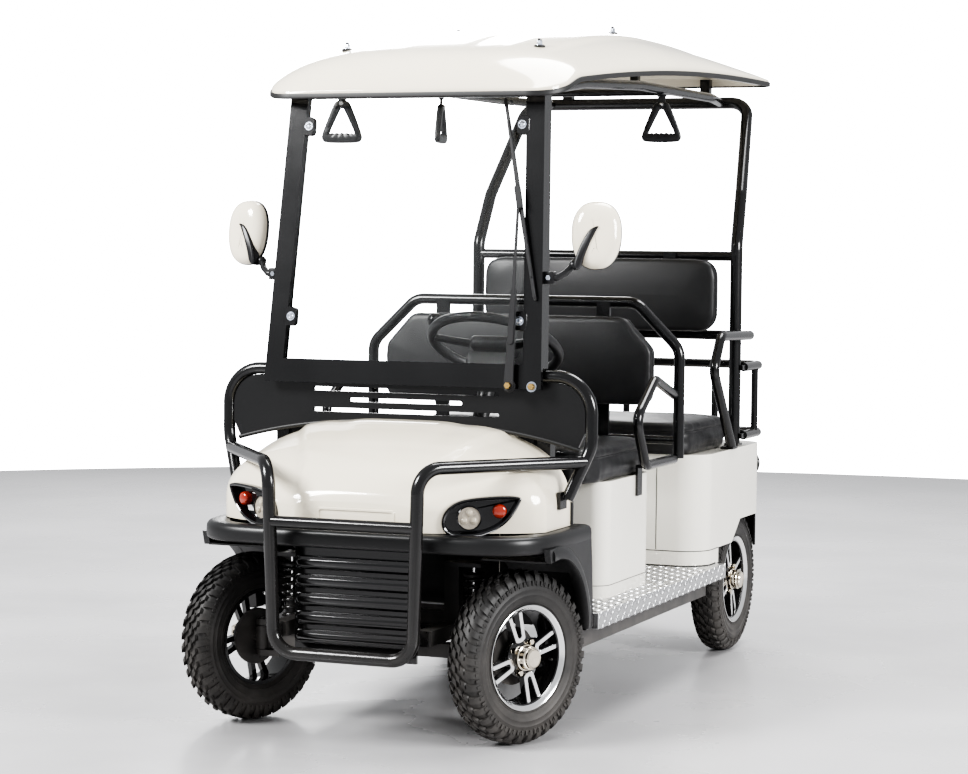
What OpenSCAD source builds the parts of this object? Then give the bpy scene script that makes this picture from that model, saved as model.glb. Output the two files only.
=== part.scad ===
/* [Wheels] */
// Outside diameter of a tyre
tyre_d = 440; // [400:1:480]
// Width of a tyre
tyre_w = 92; // [76:1:104]
// Diameter where the tyre's bead sits on the rim
bead_d = 254; // [230:1:280]
// Distance between the front and rear axles
wheelbase = 1680; // [1500:5:1900]
// Distance between the front wheels, running straight
front_track = 766; // [740:1:800]
// Distance between the rear wheels
rear_track = 830; // [800:1:836]
// Diameter of the wheel spindles
spindle_d = 24; // [16:1:30]
// Turn of the front wheels at either steering stop, in degrees
steer_stop = 22.8; // [10:0.1:23]
// Distance from a kingpin to the middle of its wheel
kingpin_offset = 40; // [36:1:46]

/* [Floor] */
// Half the width of the tread plate
deck_half_w = 500; // [470:1:540]
// Height of the tread plate's upper face
deck_z = 300; // [290:1:330]
// Thickness of the tread plate
deck_t = 4; // [3:0.5:6]
// Depth of the folded edge of the tread plate
deck_lip = 42; // [30:1:60]

/* [Front end] */
// Half the width of the white cowl
cowl_half_w = 450; // [420:1:465]
// Height of the cowl at the middle of its rear edge
cowl_top_z = 786; // [760:1:810]
// Wall thickness of the moulded panels
shell_t = 8; // [5:0.5:12]
// Half the width over the dark front wings
wing_half_w = 487; // [475:1:510]
// Diameter of the front guard's tube
guard_tube_d = 34; // [28:1:42]
// Diameter of the dash hoop's tube
dash_tube_d = 32; // [26:1:38]

/* [Seats] */
// Half the width of the front seat box
box_half_w = 430; // [400:1:450]
// Height of the front seat box above the floor
box_h = 318; // [280:1:330]
// Thickness of the seat cushions
cushion_t = 105; // [80:1:120]
// Half the width of the rear body
body_half_w = 469; // [466:1:480]
// Height of the rear body's top
body_top_z = 634; // [610:1:650]

/* [Roof] */
// Diameter of the rear hoop's tube
hoop_tube_d = 38; // [32:1:44]
// Half the width of the roof
roof_half_w = 452; // [430:1:480]
// Thickness of the windscreen glass
glass_t = 5; // [4:0.5:8]
// Lean of the windscreen from upright, in degrees
screen_lean = 6.9; // [4:0.1:9]

/* [Controls] */
// Diameter of the steering wheel
steering_d = 370; // [330:1:400]
// Diameter of the steering wheel's shaft
steering_shaft_d = 20; // [16:1:26]

/* [Hidden] */

$fn = 48;
// Gap between pieces that are not joined, and at a running shaft
clear = 0.3;
run_clear = 0.06;
// A cut runs this far past the face it goes through
past = 1;

// Front and rear extremes, measured from the front axle, which put the origin under the
// middle of the whole machine
guard_front_y = -272;
hitch_rear_y = 2096;
mid_y = (guard_front_y + hitch_rear_y) / 2;
axle_z = tyre_d / 2;
kingpin_x = front_track / 2 - kingpin_offset;
SIDES = [1, -1];

// ---- general shapes ----
function unit(v) = v / norm(v);
function arc_points(c, r, from, to, n) =
  [for (i = [0:n]) let (a = from + (to - from) * i / n) [c[0] + r * cos(a), c[1] + r * sin(a)]];
function flip_x(pts) = [for (i = [len(pts) - 1:-1:0]) [-pts[i][0], pts[i][1]]];

// A closed form from an upper grid of points down to a lower one of the same layout, with
// nx cells across and ny along
function grid_faces(first, nx, ny, turn) = [for (j = [0:ny - 1], i = [0:nx - 1])
  let (a = first + j * (nx + 1) + i, q = [a, a + nx + 1, a + nx + 2, a + 1])
  each turn ? [[q[0], q[1], q[2]], [q[0], q[2], q[3]]] : [[q[2], q[1], q[0]], [q[3], q[2], q[0]]]];
function grid_ring(nx, ny) = concat([for (i = [0:nx]) i], [for (j = [1:ny]) j * (nx + 1) + nx],
  [for (i = [nx - 1:-1:0]) ny * (nx + 1) + i], [for (j = [ny - 1:-1:1]) j * (nx + 1)]);
module grid_form(upper, lower, nx, ny) {
  n = len(upper);
  ring = grid_ring(nx, ny);
  polyhedron(concat(upper, lower), concat(grid_faces(0, nx, ny, true), grid_faces(n, nx, ny, false),
    [for (k = [0:len(ring) - 1]) let (a = ring[k], b = ring[(k + 1) % len(ring)])
      each [[a, b, b + n], [a, b + n, a + n]]]));
}

module vehicle() { translate([0, -mid_y, 0]) children(); }
module both_sides() { for (s = SIDES) scale_x(s) children(); }
module scale_x(s) { if (s > 0) children(); else mirror([1, 0, 0]) children(); }

// A round bar from a to b
module bar(a, b, d) {
  v = b - a;
  translate(a) rotate([0, acos(v[2] / norm(v)), atan2(v[1], v[0])]) cylinder(h = norm(v), d = d);
}
// A box beam from a to b, both on one level along X or Y
module beam(from, to) {
  lo = [for (i = [0:2]) min(from[i], to[i])];
  hi = [for (i = [0:2]) max(from[i], to[i])];
  translate(lo) cube(hi - lo);
}
// Turn of a bent tube at corner i, and the length its bend takes from each straight
function bend_half(pts, i) =
  (180 - acos(min(1, max(-1, unit(pts[i - 1] - pts[i]) * unit(pts[i + 1] - pts[i]))))) / 2;
function bend_cut(pts, i, r) = i == 0 || i == len(pts) - 1 ? 0 : r * tan(bend_half(pts, i));
// A tube bent to radius r at each corner of the path. Each straight is a hair thinner than
// the bends and runs a little way into them.
lap = 1.5;
lap_step = 0.2;
module bent_tube(pts, d, r) {
  for (i = [0:len(pts) - 2]) {
    u = unit(pts[i + 1] - pts[i]);
    a = i == 0 ? 0 : bend_cut(pts, i, r) - lap;
    b = i == len(pts) - 2 ? 0 : bend_cut(pts, i + 1, r) - lap;
    bar(pts[i] + u * a, pts[i + 1] - u * b, d - lap_step);
  }
  for (i = [1:len(pts) - 2]) {
    u = unit(pts[i - 1] - pts[i]);
    v = unit(pts[i + 1] - pts[i]);
    half = bend_half(pts, i);
    c = pts[i] + unit(u + v) * r / cos(half);
    x = unit(pts[i] + u * bend_cut(pts, i, r) - c);
    e = unit(pts[i] + v * bend_cut(pts, i, r) - c);
    n = unit(cross(x, e));
    y = cross(n, x);
    multmatrix([[x[0], y[0], n[0], c[0]], [x[1], y[1], n[1], c[1]], [x[2], y[2], n[2], c[2]]])
      rotate_extrude(angle = 2 * half) translate([r, 0]) circle(d = d);
  }
}
// A rectangle with round corners, in the plane
module round_rect(w, h, r) {
  square([w - 2 * r, h], center = true);
  square([w, h - 2 * r], center = true);
  for (sx = SIDES, sy = SIDES) translate([sx * (w / 2 - r), sy * (h / 2 - r)]) circle(r);
}
// An upright prism between y0 and y1 with round vertical corners
module round_box(half_w, y0, y1, z0, z1, r) {
  translate([0, (y0 + y1) / 2, z0]) linear_extrude(z1 - z0) round_rect(2 * half_w, y1 - y0, r);
}
// Places a flat drawing in X and Z, with its thickness running forward from y
module standing(y) { translate([0, y, 0]) rotate([90, 0, 0]) children(); }

// ---- chassis ----
rail_x = 200;
rail_w = 40;
rail_z0 = 258;
rail_z1 = deck_z - deck_t;
rail_front_y = -196;
rail_rear_y = 2000;
sill_x = deck_half_w - 80;
sill_w = 40;
sill_z0 = 200;
// y of each cross member of the floor frame
CROSS_Y = [280, 660, 1040, 1400];
deck_front_y = 262;
deck_rear_y = 1424;
cross_w = 36;
front_cross_y = -70;
tower_x = 256;
tower_z = 440;
tower_plate_t = 10;
rear_tower_x = 270;

module chassis_frame() color("#1c1c1e") vehicle() {
  both_sides() {
    beam([rail_x - rail_w / 2, rail_front_y, rail_z0], [rail_x + rail_w / 2, rail_rear_y, rail_z1]);
    beam([sill_x - sill_w / 2, CROSS_Y[0] - cross_w / 2, sill_z0],
         [sill_x + sill_w / 2, CROSS_Y[3] + cross_w / 2, rail_z0]);
    // front post that carries the damper's top plate
    beam([rail_x - rail_w / 2, -16, rail_z1], [rail_x + rail_w / 2, 16, tower_z + tower_plate_t]);
    beam([rail_x, -34, tower_z], [tower_x + 30, 34, tower_z + tower_plate_t]);
    // rear post
    translate([0, wheelbase, 0]) {
      beam([rail_x - rail_w / 2, -16, rail_z1], [rail_x + rail_w / 2, 16, tower_z + tower_plate_t]);
      beam([rail_x, -34, tower_z], [rear_tower_x + 30, 34, tower_z + tower_plate_t]);
    }
  }
  for (y = CROSS_Y)
    beam([-sill_x - sill_w / 2, y - cross_w / 2, rail_z0], [sill_x + sill_w / 2, y + cross_w / 2, rail_z1]);
  for (y = [front_cross_y, 160, rail_rear_y - 20])
    beam([-rail_x, y - 20, rail_z0], [rail_x, y + 20, rail_z1]);
}

battery_w = 620;
battery_h = 230;
module battery_block() color("#303338") vehicle()
  round_box(battery_w / 2, box_y0 + 40, box_y1 - 40, deck_z, deck_z + battery_h, 12);

module floor_deck() color("#b9bcc0") vehicle() difference() {
  beam([-deck_half_w, deck_front_y, deck_z - deck_lip], [deck_half_w, deck_rear_y, deck_z]);
  beam([-deck_half_w + deck_t, deck_front_y + deck_t, deck_z - deck_lip - past],
       [deck_half_w - deck_t, deck_rear_y - deck_t, deck_z - deck_t]);
  // the end edges stay up only outside the frame's rails
  beam([-sill_x - sill_w / 2 - clear, deck_front_y - past, deck_z - deck_lip - past],
       [sill_x + sill_w / 2 + clear, deck_rear_y + past, deck_z - deck_t]);
}

// ---- front end ----
cowl_y0 = -168;
cowl_y1 = 176;
cowl_z0 = 536;
cowl_lip = 50;
// Rows of the cowl: y, half width as a share of the whole, height above the lower edge as a share
COWL = [[-168, 0.378, 0.27], [-158, 0.46, 0.38], [-140, 0.547, 0.45], [-104, 0.70, 0.585], [-60, 0.885, 0.70],
  [-30, 0.965, 0.762], [0, 1, 0.824], [50, 1, 0.91], [112, 1, 0.985], [176, 1, 1]];
function column_of(rows, c) = [for (r = rows) [r[0], r[c]]];
// The cowl's upper face, lowered by drop and drawn in by inset; u runs from -1 to 1 across
cowl_nx = 24;
function cowl_shape(u) = pow(1 - pow(abs(u), 3.2), 0.4545);
function cowl_grid(drop, inset) = [for (r = COWL) let (y = max(cowl_y0 + inset, min(cowl_y1 - inset, r[0])),
    half = lookup(y, column_of(COWL, 1)) * cowl_half_w - inset,
    h = lookup(y, column_of(COWL, 2)) * (cowl_top_z - cowl_z0))
  for (i = [0:cowl_nx]) let (u = sin(90 * (2 * i / cowl_nx - 1)))
    [u * half, y, cowl_z0 + cowl_lip + (h - cowl_lip) * cowl_shape(u) - drop]];
function lowered(grid, z) = [for (p = grid) [p[0], p[1], z]];
// Plan of the front edge, as X and Y: flat in the middle and swept back at the lamps
function nose_plan(half_w, y0, y1) = concat(
  [[half_w, y1], [half_w, y0 + 168]],
  arc_points([half_w - 60, y0 + 168], 60, 0, -52, 4),
  [[210, y0 + 12], [170, y0]]);
function whole_plan(half_w, y0, y1) = concat(nose_plan(half_w, y0, y1), flip_x(nose_plan(half_w, y0, y1)));

module front_cowl() color("#ece7db") vehicle() difference() {
  grid_form(cowl_grid(0, 0), lowered(cowl_grid(0, 0), cowl_z0), cowl_nx, len(COWL) - 1);
  grid_form(cowl_grid(shell_t, shell_t), lowered(cowl_grid(0, shell_t), cowl_z0 - past), cowl_nx, len(COWL) - 1);
  // blank number plate recess
  beam([-105, cowl_y0 - past, 545], [105, cowl_y0 + 4, 588]);
  both_sides() lamp_place() linear_extrude(80, center = true) round_rect(lamp_w + 2, lamp_h + 2, lamp_r);
}

wing_z1 = cowl_z0 - clear;
wing_lip_z = 488;
wing_low_z = 262;
wing_t = 20;
wing_y0 = -200;
wing_y1 = 262;
arch_r = 215;
arch_y = -10;
arch_z = 255;
module front_wings() color("#3a3b3d") vehicle() difference() {
  union() {
    translate([0, 0, wing_lip_z]) linear_extrude(wing_z1 - wing_lip_z) polygon(whole_plan(wing_half_w, wing_y0, wing_y1));
    both_sides() beam([wing_half_w - wing_t, -60, wing_low_z], [wing_half_w, wing_y1, wing_z1]);
    both_sides() beam([rail_x + rail_w / 2 + clear, wing_y1 - 6, wing_low_z], [wing_half_w, wing_y1, wing_z1]);
  }
  // hollow under the ledge
  translate([0, 0, wing_low_z]) linear_extrude(wing_z1 - shell_t - wing_low_z)
    polygon(whole_plan(wing_half_w - wing_t, wing_y0 + wing_t, wing_y1 - 6));
  // room for the chassis, the battery cables and the legs behind the cowl
  beam([-300, 0, wing_z1 - 2 * shell_t], [300, wing_y1 + past, wing_z1 + past]);
  translate([0, arch_y, arch_z]) rotate([0, 90, 0])
    cylinder(h = 2 * wing_half_w + 10, r = arch_r, center = true, $fn = 96);
}

grille_half_w = 168;
grille_z0 = 206;
grille_z1 = wing_lip_z - clear;
grille_y = -166;
slat_pitch = 47;
module front_grille() color("#141416") vehicle() {
  beam([-grille_half_w, grille_y, grille_z0], [grille_half_w, grille_y + 10, grille_z1]);
  for (i = [0:4]) standing(grille_y + past) linear_extrude(16)
    translate([0, grille_z0 + 56 + i * slat_pitch]) round_rect(2 * grille_half_w - 12, 26, 12);
  both_sides() beam([grille_half_w - 40, grille_y + 10, rail_z0 + 4],
    [grille_half_w - 10, front_cross_y - 20 - clear, rail_z1 - 4]);
}

guard_x = 191;
guard_y = guard_front_y + guard_tube_d / 2;
guard_low_z = 224;
guard_top_z = 704;
guard_cross_z = 556;
dash_y = 142;
dash_t = 10;
dash_top_z = 920;
dash_half_w = 517;
HOOP_LOW = [468, 98, 610];
HOOP_KNEE = [dash_half_w, dash_y, 742];
guard_arm = HOOP_LOW + (HOOP_KNEE - HOOP_LOW) * 0.72;
module front_guard() color("#111113") vehicle() {
  difference() {
    bent_tube([mirrored(guard_arm), [-guard_x - 14, guard_y + 4, guard_top_z], [-guard_x, guard_y + 14, guard_low_z],
      [guard_x, guard_y + 14, guard_low_z], [guard_x + 14, guard_y + 4, guard_top_z], guard_arm], guard_tube_d, 62);
    both_sides() bar(HOOP_LOW, HOOP_KNEE, dash_tube_d + 2 * clear);
    // trims what would pass beyond the hoop
    both_sides() translate(guard_arm) rotate([0, 0, 51]) translate([6, -40, -40]) cube(80);
  }
  bar([-guard_x - 6, guard_y + 6, guard_cross_z], [guard_x + 6, guard_y + 6, guard_cross_z], guard_tube_d - 4);
  both_sides() beam([rail_x - 12, guard_y + 8, rail_z0 + 4], [rail_x - 6, rail_front_y, rail_z1 - 4]);
  both_sides() beam([rail_x - 14, rail_front_y - 6, rail_z0], [rail_x + 14, rail_front_y, rail_z1]);
}
function mirrored(p) = [-p[0], p[1], p[2]];

lamp_w = 150;
lamp_h = 74;
lamp_r = 30;
lamp_sweep = 27;
module lamp_place() translate([312, -104, 579]) rotate([90, 0, lamp_sweep]) children();
module headlamps() color("#202124") vehicle() both_sides() lamp_place() {
  translate([0, 0, -20]) linear_extrude(24) round_rect(lamp_w, lamp_h, lamp_r - 1);
  translate([-36, -4, 0]) cylinder(h = 12, r = 28);
  translate([36, 6, 0]) cylinder(h = 10, r = 16);
}

dash_bend = 95;
module dash_hoop() color("#111113") vehicle() {
  bent_tube([mirrored(HOOP_LOW), mirrored(HOOP_KNEE), [-dash_half_w, dash_y, dash_top_z],
    [dash_half_w, dash_y, dash_top_z], HOOP_KNEE, HOOP_LOW], dash_tube_d, dash_bend);
  // posts behind the dash panel, which step back behind the front wheels to the tread plate
  both_sides() for (b = POST)
    beam([post_in + 1, b[0], b[2]], [screen_half_low - 1, b[1], b[3]]);
  // feet bolted to the cowl's shoulders
  both_sides() beam([cowl_half_w + clear, HOOP_LOW[1] - 24, HOOP_LOW[2] - 24],
    [cowl_half_w + 9, HOOP_LOW[1] + 24, HOOP_LOW[2] + 20]);
}
panel_half_w = dash_half_w - dash_tube_d / 2 - clear;
panel_low_mid = cowl_top_z + 6;
// Lower edge of the dash panel: a shallow arch over the cowl, as X and Z
function panel_low(x) = panel_low_mid - 62 * pow(abs(x) / panel_half_w, 2.4);
slot_h = 11;
// Slots, as the height of each and its length
SLOTS = [[870, 530], [843, 322], [815, 530]];
module dash_panel() color("#161618") vehicle() difference() {
  standing(dash_y + dash_t / 2) linear_extrude(dash_t) polygon(concat(
    [for (i = [-9.6:0.8:9.6]) [i * panel_half_w / 10, panel_low(i * panel_half_w / 10)]],
    [[panel_half_w, HOOP_KNEE[2] + 36]],
    arc_points([dash_half_w - dash_bend, dash_top_z - dash_bend], dash_bend - dash_tube_d / 2 - clear, 0, 90, 8),
    arc_points([-dash_half_w + dash_bend, dash_top_z - dash_bend], dash_bend - dash_tube_d / 2 - clear, 90, 180, 8),
    [[-panel_half_w, HOOP_KNEE[2] + 36]]));
  for (s = SLOTS) standing(dash_y + dash_t) linear_extrude(2 * dash_t)
    translate([0, s[0]]) round_rect(s[1], slot_h, slot_h / 2 - 0.1);
}

// ---- windscreen ----
screen_y = 100;
screen_z0 = 888;
screen_z1 = 1672;
screen_half_low = 393;
screen_half_top = 360;
member_w = 50;
member_t = 14;
sill_bar_h = 62;
post_w = 38;
post_y0 = cowl_y1 + clear;
post_y1 = post_y0 + post_w;
post_in = screen_half_low - post_w;
post_step_z = wing_z1 + clear;
post_foot_y1 = wing_y1 + clear + post_w;
// How far up the screen its posts begin, clear of the dash hoop
post_low = 57;
// Runs of each post under the dash hoop, as y from and to, then z from and to
POST = [[dash_y + dash_t / 2 + clear, post_y1, dash_top_z - 60, dash_top_z - 4],
  [post_y0, post_y1, post_step_z, dash_top_z - 30],
  [post_y0, post_foot_y1, post_step_z, post_step_z + post_w],
  [post_foot_y1 - post_w, post_foot_y1, deck_z, post_step_z + post_w]];
// Draws in the leaning plane of the windscreen: X across, Y up the screen, thickness forward
module on_screen(back = 0) translate([0, screen_y, screen_z0]) rotate([90 - screen_lean, 0, 0])
  translate([0, 0, -back]) children();
screen_h = (screen_z1 - screen_z0) / cos(screen_lean);
function screen_half(s) = screen_half_low + (screen_half_top - screen_half_low) * s / screen_h;
function screen_quad(inset, s0, s1) = [[-screen_half(s0) + inset, s0], [screen_half(s0) - inset, s0],
  [screen_half(s1) - inset, s1], [-screen_half(s1) + inset, s1]];
module windscreen_frame() color("#121214") vehicle() {
  on_screen(member_t) linear_extrude(member_t) difference() {
    polygon(screen_quad(0, 0, screen_h));
    polygon(screen_quad(member_w, sill_bar_h, screen_h - 34));
  }
  // posts behind the side members, which stand on the dash hoop
  both_sides() on_screen(member_t + post_w) linear_extrude(post_w) polygon([
    [screen_half(post_low) - post_w, post_low], [screen_half(post_low), post_low],
    [screen_half(screen_h), screen_h], [screen_half(screen_h) - post_w, screen_h]]);
}
module windscreen_glass() color("#bcd0d8", 0.35) vehicle()
  on_screen(member_t + glass_t + clear) linear_extrude(glass_t)
    polygon(screen_quad(post_w + 4, sill_bar_h - 5, screen_h - 22));

wiper_x = 311;
module wiper() color("#18181a") vehicle() {
  on_screen() translate([wiper_x, 6, 0]) cylinder(h = 26, r = 10);
  on_screen(-18) linear_extrude(6) polygon([[wiper_x - 7, 0], [wiper_x + 7, 0], [318, 492], [306, 492]]);
  on_screen(-clear) linear_extrude(18) polygon([[362, 229], [372, 229], [262, 747], [252, 747]]);
}

mirror_x = 499;
mirror_z = 1281;
module mirrors() color("#e8e2d2") vehicle() both_sides() {
  translate([mirror_x, 212, mirror_z]) rotate([-6, 0, 14]) rotate([90, 0, 0]) {
    translate([0, 0, -12]) linear_extrude(26) round_rect(130, 176, 62);
    translate([0, 0, 13]) linear_extrude(16) round_rect(96, 142, 46);
  }
  bent_tube([[screen_half(288) + 1, 160, 1172], [420, 160, 1172], [440, 186, 1214], [486, 208, 1264]], 16, 14);
}

// ---- roof ----
roof_y0 = 128;
roof_y1 = 2076;
roof_lip = 26;
roof_skin = 12;
// Height of the roof's lower edge and of its upper face along the middle, at y
function roof_edge(y) = 1660 + 108 * (1 - pow(1 - (y - roof_y0) / (roof_y1 - roof_y0), 2.2));
function roof_mid(y) = let (t = (y - roof_y0) / (roof_y1 - roof_y0))
  t < 0.5 ? 1690 + 176 * pow(sin(180 * min(t, 0.5)), 0.62) : 1866 - 56 * pow((t - 0.5) / 0.5, 2);
// u runs from -1 to 1 across the roof
function roof_top(u, y) = let (e = roof_edge(y) + roof_lip) e + (roof_mid(y) - e) * pow(1 - pow(abs(u), 2.6), 0.8);
function roof_half(y) = let (f = max(0, 1 - (y - roof_y0) / 150), r = max(0, 1 - (roof_y1 - y) / 70))
  roof_half_w - 14 - 30 * f * f - 24 * r * r + 14 * min(1, (y - roof_y0) / 900);
roof_nx = 16;
roof_ny = 20;
function roof_grid(drop, inset) = [for (j = [0:roof_ny]) let (y = roof_y0 + inset + (roof_y1 - roof_y0 - 2 * inset) * j / roof_ny)
  for (i = [0:roof_nx]) let (u = sin(90 * (2 * i / roof_nx - 1))) [u * (roof_half(y) - inset), y,
    j == 0 || j == roof_ny ? roof_edge(y) + (roof_lip + (roof_mid(y) - roof_edge(y) - roof_lip) * 0.45 * (1 - u * u)) - drop
      : roof_top(u, y) - drop]];
function to_edge(grid, drop) = [for (p = grid) [p[0], p[1], roof_edge(p[1]) - drop]];
module roof_shell() color("#ece6d8") vehicle() difference() {
  grid_form(roof_grid(0, 0), to_edge(roof_grid(0, 0), 0), roof_nx, roof_ny);
  grid_form(roof_grid(roof_skin, roof_skin), to_edge(roof_grid(roof_skin, roof_skin), 8), roof_nx, roof_ny);
}

hoop_half = 432;
hoop_top_half = 376;
rail_roof_x = 350;
rail_roof_d = 28;
// The rails come in askew, so their ends stop short of the hoop
rail_end_gap = 3.2;
// y where the rails meet the backs of the windscreen's posts
rail_front_end = 248.6;
hoop_top = [2014, 1716];
module roof_rails() color("#111113") vehicle() {
  both_sides() bent_tube([[rail_roof_x, rail_front_end, roof_rail_z(rail_front_end)], [rail_roof_x, 520, 1690], [rail_roof_x, 1000, 1712],
    [rail_roof_x, 1700, 1715], [290, hoop_top[0] - hoop_tube_d / 2 - rail_end_gap, hoop_top[1]]], rail_roof_d, 300);
  for (y = [620, 1340]) bar([-rail_roof_x, y, roof_rail_z(y)], [rail_roof_x, y, roof_rail_z(y)], rail_roof_d - 6);
  // blocks that carry the roof
  for (x = [-220, 220], y = [620, 1340]) beam([x - 12, y - 12, roof_rail_z(y)], [x + 12, y + 12, roof_under(x, y) - 1.4]);
}
function roof_rail_z(y) = y < 520 ? 1655 + (y - 214) * 35 / 306 : y < 1000 ? 1690 + (y - 520) * 22 / 480 : 1712 + (y - 1000) * 4 / 995;
function roof_under(x, y) = roof_top(x / roof_half(y), y) - roof_skin - 4;

module rear_hoop() color("#111113") vehicle() {
  bent_tube([[-hoop_half, 1722, 640], [-hoop_half, 1722, 1260], [-hoop_half + 10, 1796, 1416], [-hoop_top_half, hoop_top[0], hoop_top[1]],
    [hoop_top_half, hoop_top[0], hoop_top[1]], [hoop_half - 10, 1796, 1416], [hoop_half, 1722, 1260], [hoop_half, 1722, 640]],
    hoop_tube_d, 64);
  for (z = [978, 1224]) bar([-hoop_half, 1722, z], [hoop_half, 1722, z], hoop_tube_d - 8);
  both_sides() beam([220, hoop_top[0] - 14, hoop_top[1]], [252, hoop_top[0] + 14, roof_under(236, hoop_top[0]) - 6]);
  both_sides() beam([hoop_half - 24, 1698, body_top_z], [hoop_half + 20, 1746, body_top_z + 8]);
  // straps that carry the backrest
  both_sides() beam([200, 1700 + clear, 968], [240, 1716, 1234]);
}

// Handles hang from the roof's rails: side, y and turn. The driver has none.
HANDLES = [[-1, 490, 4], [-1, 1200, 100], [1, 1200, 8]];
module grab_handles() color("#141416") vehicle() for (h = HANDLES)
  translate([h[0] * rail_roof_x, h[1], roof_rail_z(h[1]) - rail_roof_d / 2 - 0.8]) rotate([0, 0, h[2]]) {
    beam([-9, -3, -44], [9, 3, 0]);
    rotate([90, 0, 0]) linear_extrude(14, center = true) difference() {
      hull() { translate([0, -48]) circle(14, $fn = 32); for (s = SIDES) translate([s * 44, -140]) circle(14, $fn = 32); }
      hull() { translate([0, -62]) circle(4, $fn = 32); for (s = SIDES) translate([s * 34, -126]) circle(7, $fn = 32); }
    }
  }

// ---- front seat ----
box_y0 = 512;
box_y1 = 900;
box_z1 = deck_z + box_h;
module front_seat_box() color("#eae6dc") vehicle() difference() {
  round_box(box_half_w, box_y0, box_y1, deck_z, box_z1, 46);
  round_box(box_half_w - shell_t, box_y0 + shell_t, box_y1 - shell_t, deck_z - past, box_z1 - shell_t, 38);
}
front_cushion_z = box_z1 + clear;
module soft_pad(half_w, y0, y1, z0, z1, r) hull() {
  translate([0, (y0 + y1) / 2, z0]) linear_extrude(z1 - z0 - 14) offset(r, $fn = 32) square([2 * (half_w - r), y1 - y0 - 2 * r], center = true);
  translate([0, (y0 + y1) / 2, z0]) linear_extrude(z1 - z0) offset(r, $fn = 32) square([2 * (half_w - r) - 24, y1 - y0 - 2 * r - 24], center = true);
}
module front_seat_cushion() color("#19191b") vehicle()
  soft_pad(box_half_w - 6, 404, 900, front_cushion_z, front_cushion_z + cushion_t, 60);

seat_hoop_half = 478;
seat_hoop_y = 1008;
seat_hoop_top = 1092;
seat_back_y = 986;
module front_seat_back() color("#19191b") vehicle() standing(seat_back_y) hull() {
  linear_extrude(42) polygon([[-412, 800], [412, 800], [412, 960], [328, 1052], [-328, 1052], [-412, 960]]);
  linear_extrude(56) polygon([[-392, 816], [392, 816], [392, 950], [318, 1036], [-318, 1036], [-392, 950]]);
}
arm_x = seat_hoop_half - 8;
module front_seat_hoop() color("#111113") vehicle() {
  bent_tube([[-seat_hoop_half, 1000, 650], [-seat_hoop_half, 1000, 960], [-344, seat_hoop_y, seat_hoop_top],
    [344, seat_hoop_y, seat_hoop_top], [seat_hoop_half, 1000, 960], [seat_hoop_half, 1000, 650]], dash_tube_d, 60);
  bar([-seat_hoop_half, 1000, 700], [seat_hoop_half, 1000, 700], dash_tube_d - 8);
  // straps that carry the backrest, and feet on the back of the box
  for (x = [-250, 250]) beam([x - 20, seat_back_y + clear, 692], [x + 20, 998, seat_hoop_top]);
  for (x = [-300, 300]) beam([x - 16, box_y1 + clear, 520], [x + 16, box_y1 + 10, 706]);
  for (x = [-300, 300]) beam([x - 16, box_y1 + 5, 694], [x + 16, 1000, 706]);
}
module front_armrests() color("#111113") vehicle() both_sides() {
  bent_tube([[arm_x, 980, 648], [arm_x, 728, 648], [arm_x, 640, 782], [arm_x, 800, 884], [arm_x, 981, 832]], 28, 40);
  beam([box_half_w + clear, 760, 560], [box_half_w + 7, 800, 646]);
  beam([box_half_w + clear, 760, 638], [arm_x, 800, 646]);
}

// ---- rear body ----
body_y0 = 1286;
body_y1 = 1940;
plinth_top = 345;
arch_top = 410;
module rear_body() color("#eae6dc") vehicle() difference() {
  round_box(body_half_w, body_y0, body_y1, deck_z, body_top_z, body_corner);
  round_box(body_half_w - shell_t + 2, body_y0 + shell_t, body_y1 - shell_t, deck_z - past, body_top_z - shell_t, 80);
  // wheel opening in the sides, and the space over the black rear skirt
  rotate([90, 0, 90]) translate([0, 0, -body_half_w - past]) linear_extrude(2 * (body_half_w + past))
    polygon([[1446, deck_z - past], [1446, plinth_top], [1590, plinth_top], [1680, arch_top], [body_y1 + past, arch_top],
      [body_y1 + past, deck_z - past]]);
  both_sides() tail_place() cylinder(h = 60, r = 30 + clear, center = true);
}
rear_cushion_z = body_top_z + clear;
module rear_seat_cushion() color("#19191b") vehicle()
  soft_pad(424, 1262, 1696, rear_cushion_z, rear_cushion_z + cushion_t, 64);
module rear_seat_back() color("#19191b") vehicle() translate([0, 1700, 0]) standing(0) hull() {
  linear_extrude(44) translate([0, 1102]) round_rect(768, 226, 60);
  linear_extrude(60) translate([0, 1102]) round_rect(744, 202, 50);
}
rear_arm_x = hoop_half + hoop_tube_d / 2 + 15 + clear;
module rear_armrests() color("#111113") vehicle() both_sides() {
  difference() {
    bent_tube([[rear_arm_x, 1596, 622], [rear_arm_x, 1378, 884], [rear_arm_x, 1450, 984], [rear_arm_x, 1765, 978]], 30, 36);
    beam([rear_arm_x - 40, 1500, 560], [rear_arm_x + 40, 1700, body_top_z + 6]);
  }
  beam([rear_arm_x - 30, 1562, body_top_z + clear], [rear_arm_x + 10, 1612, body_top_z + 7]);
}
rack_x = 452;
rack_y0 = 1752;
rack_y1 = 1950;
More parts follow.
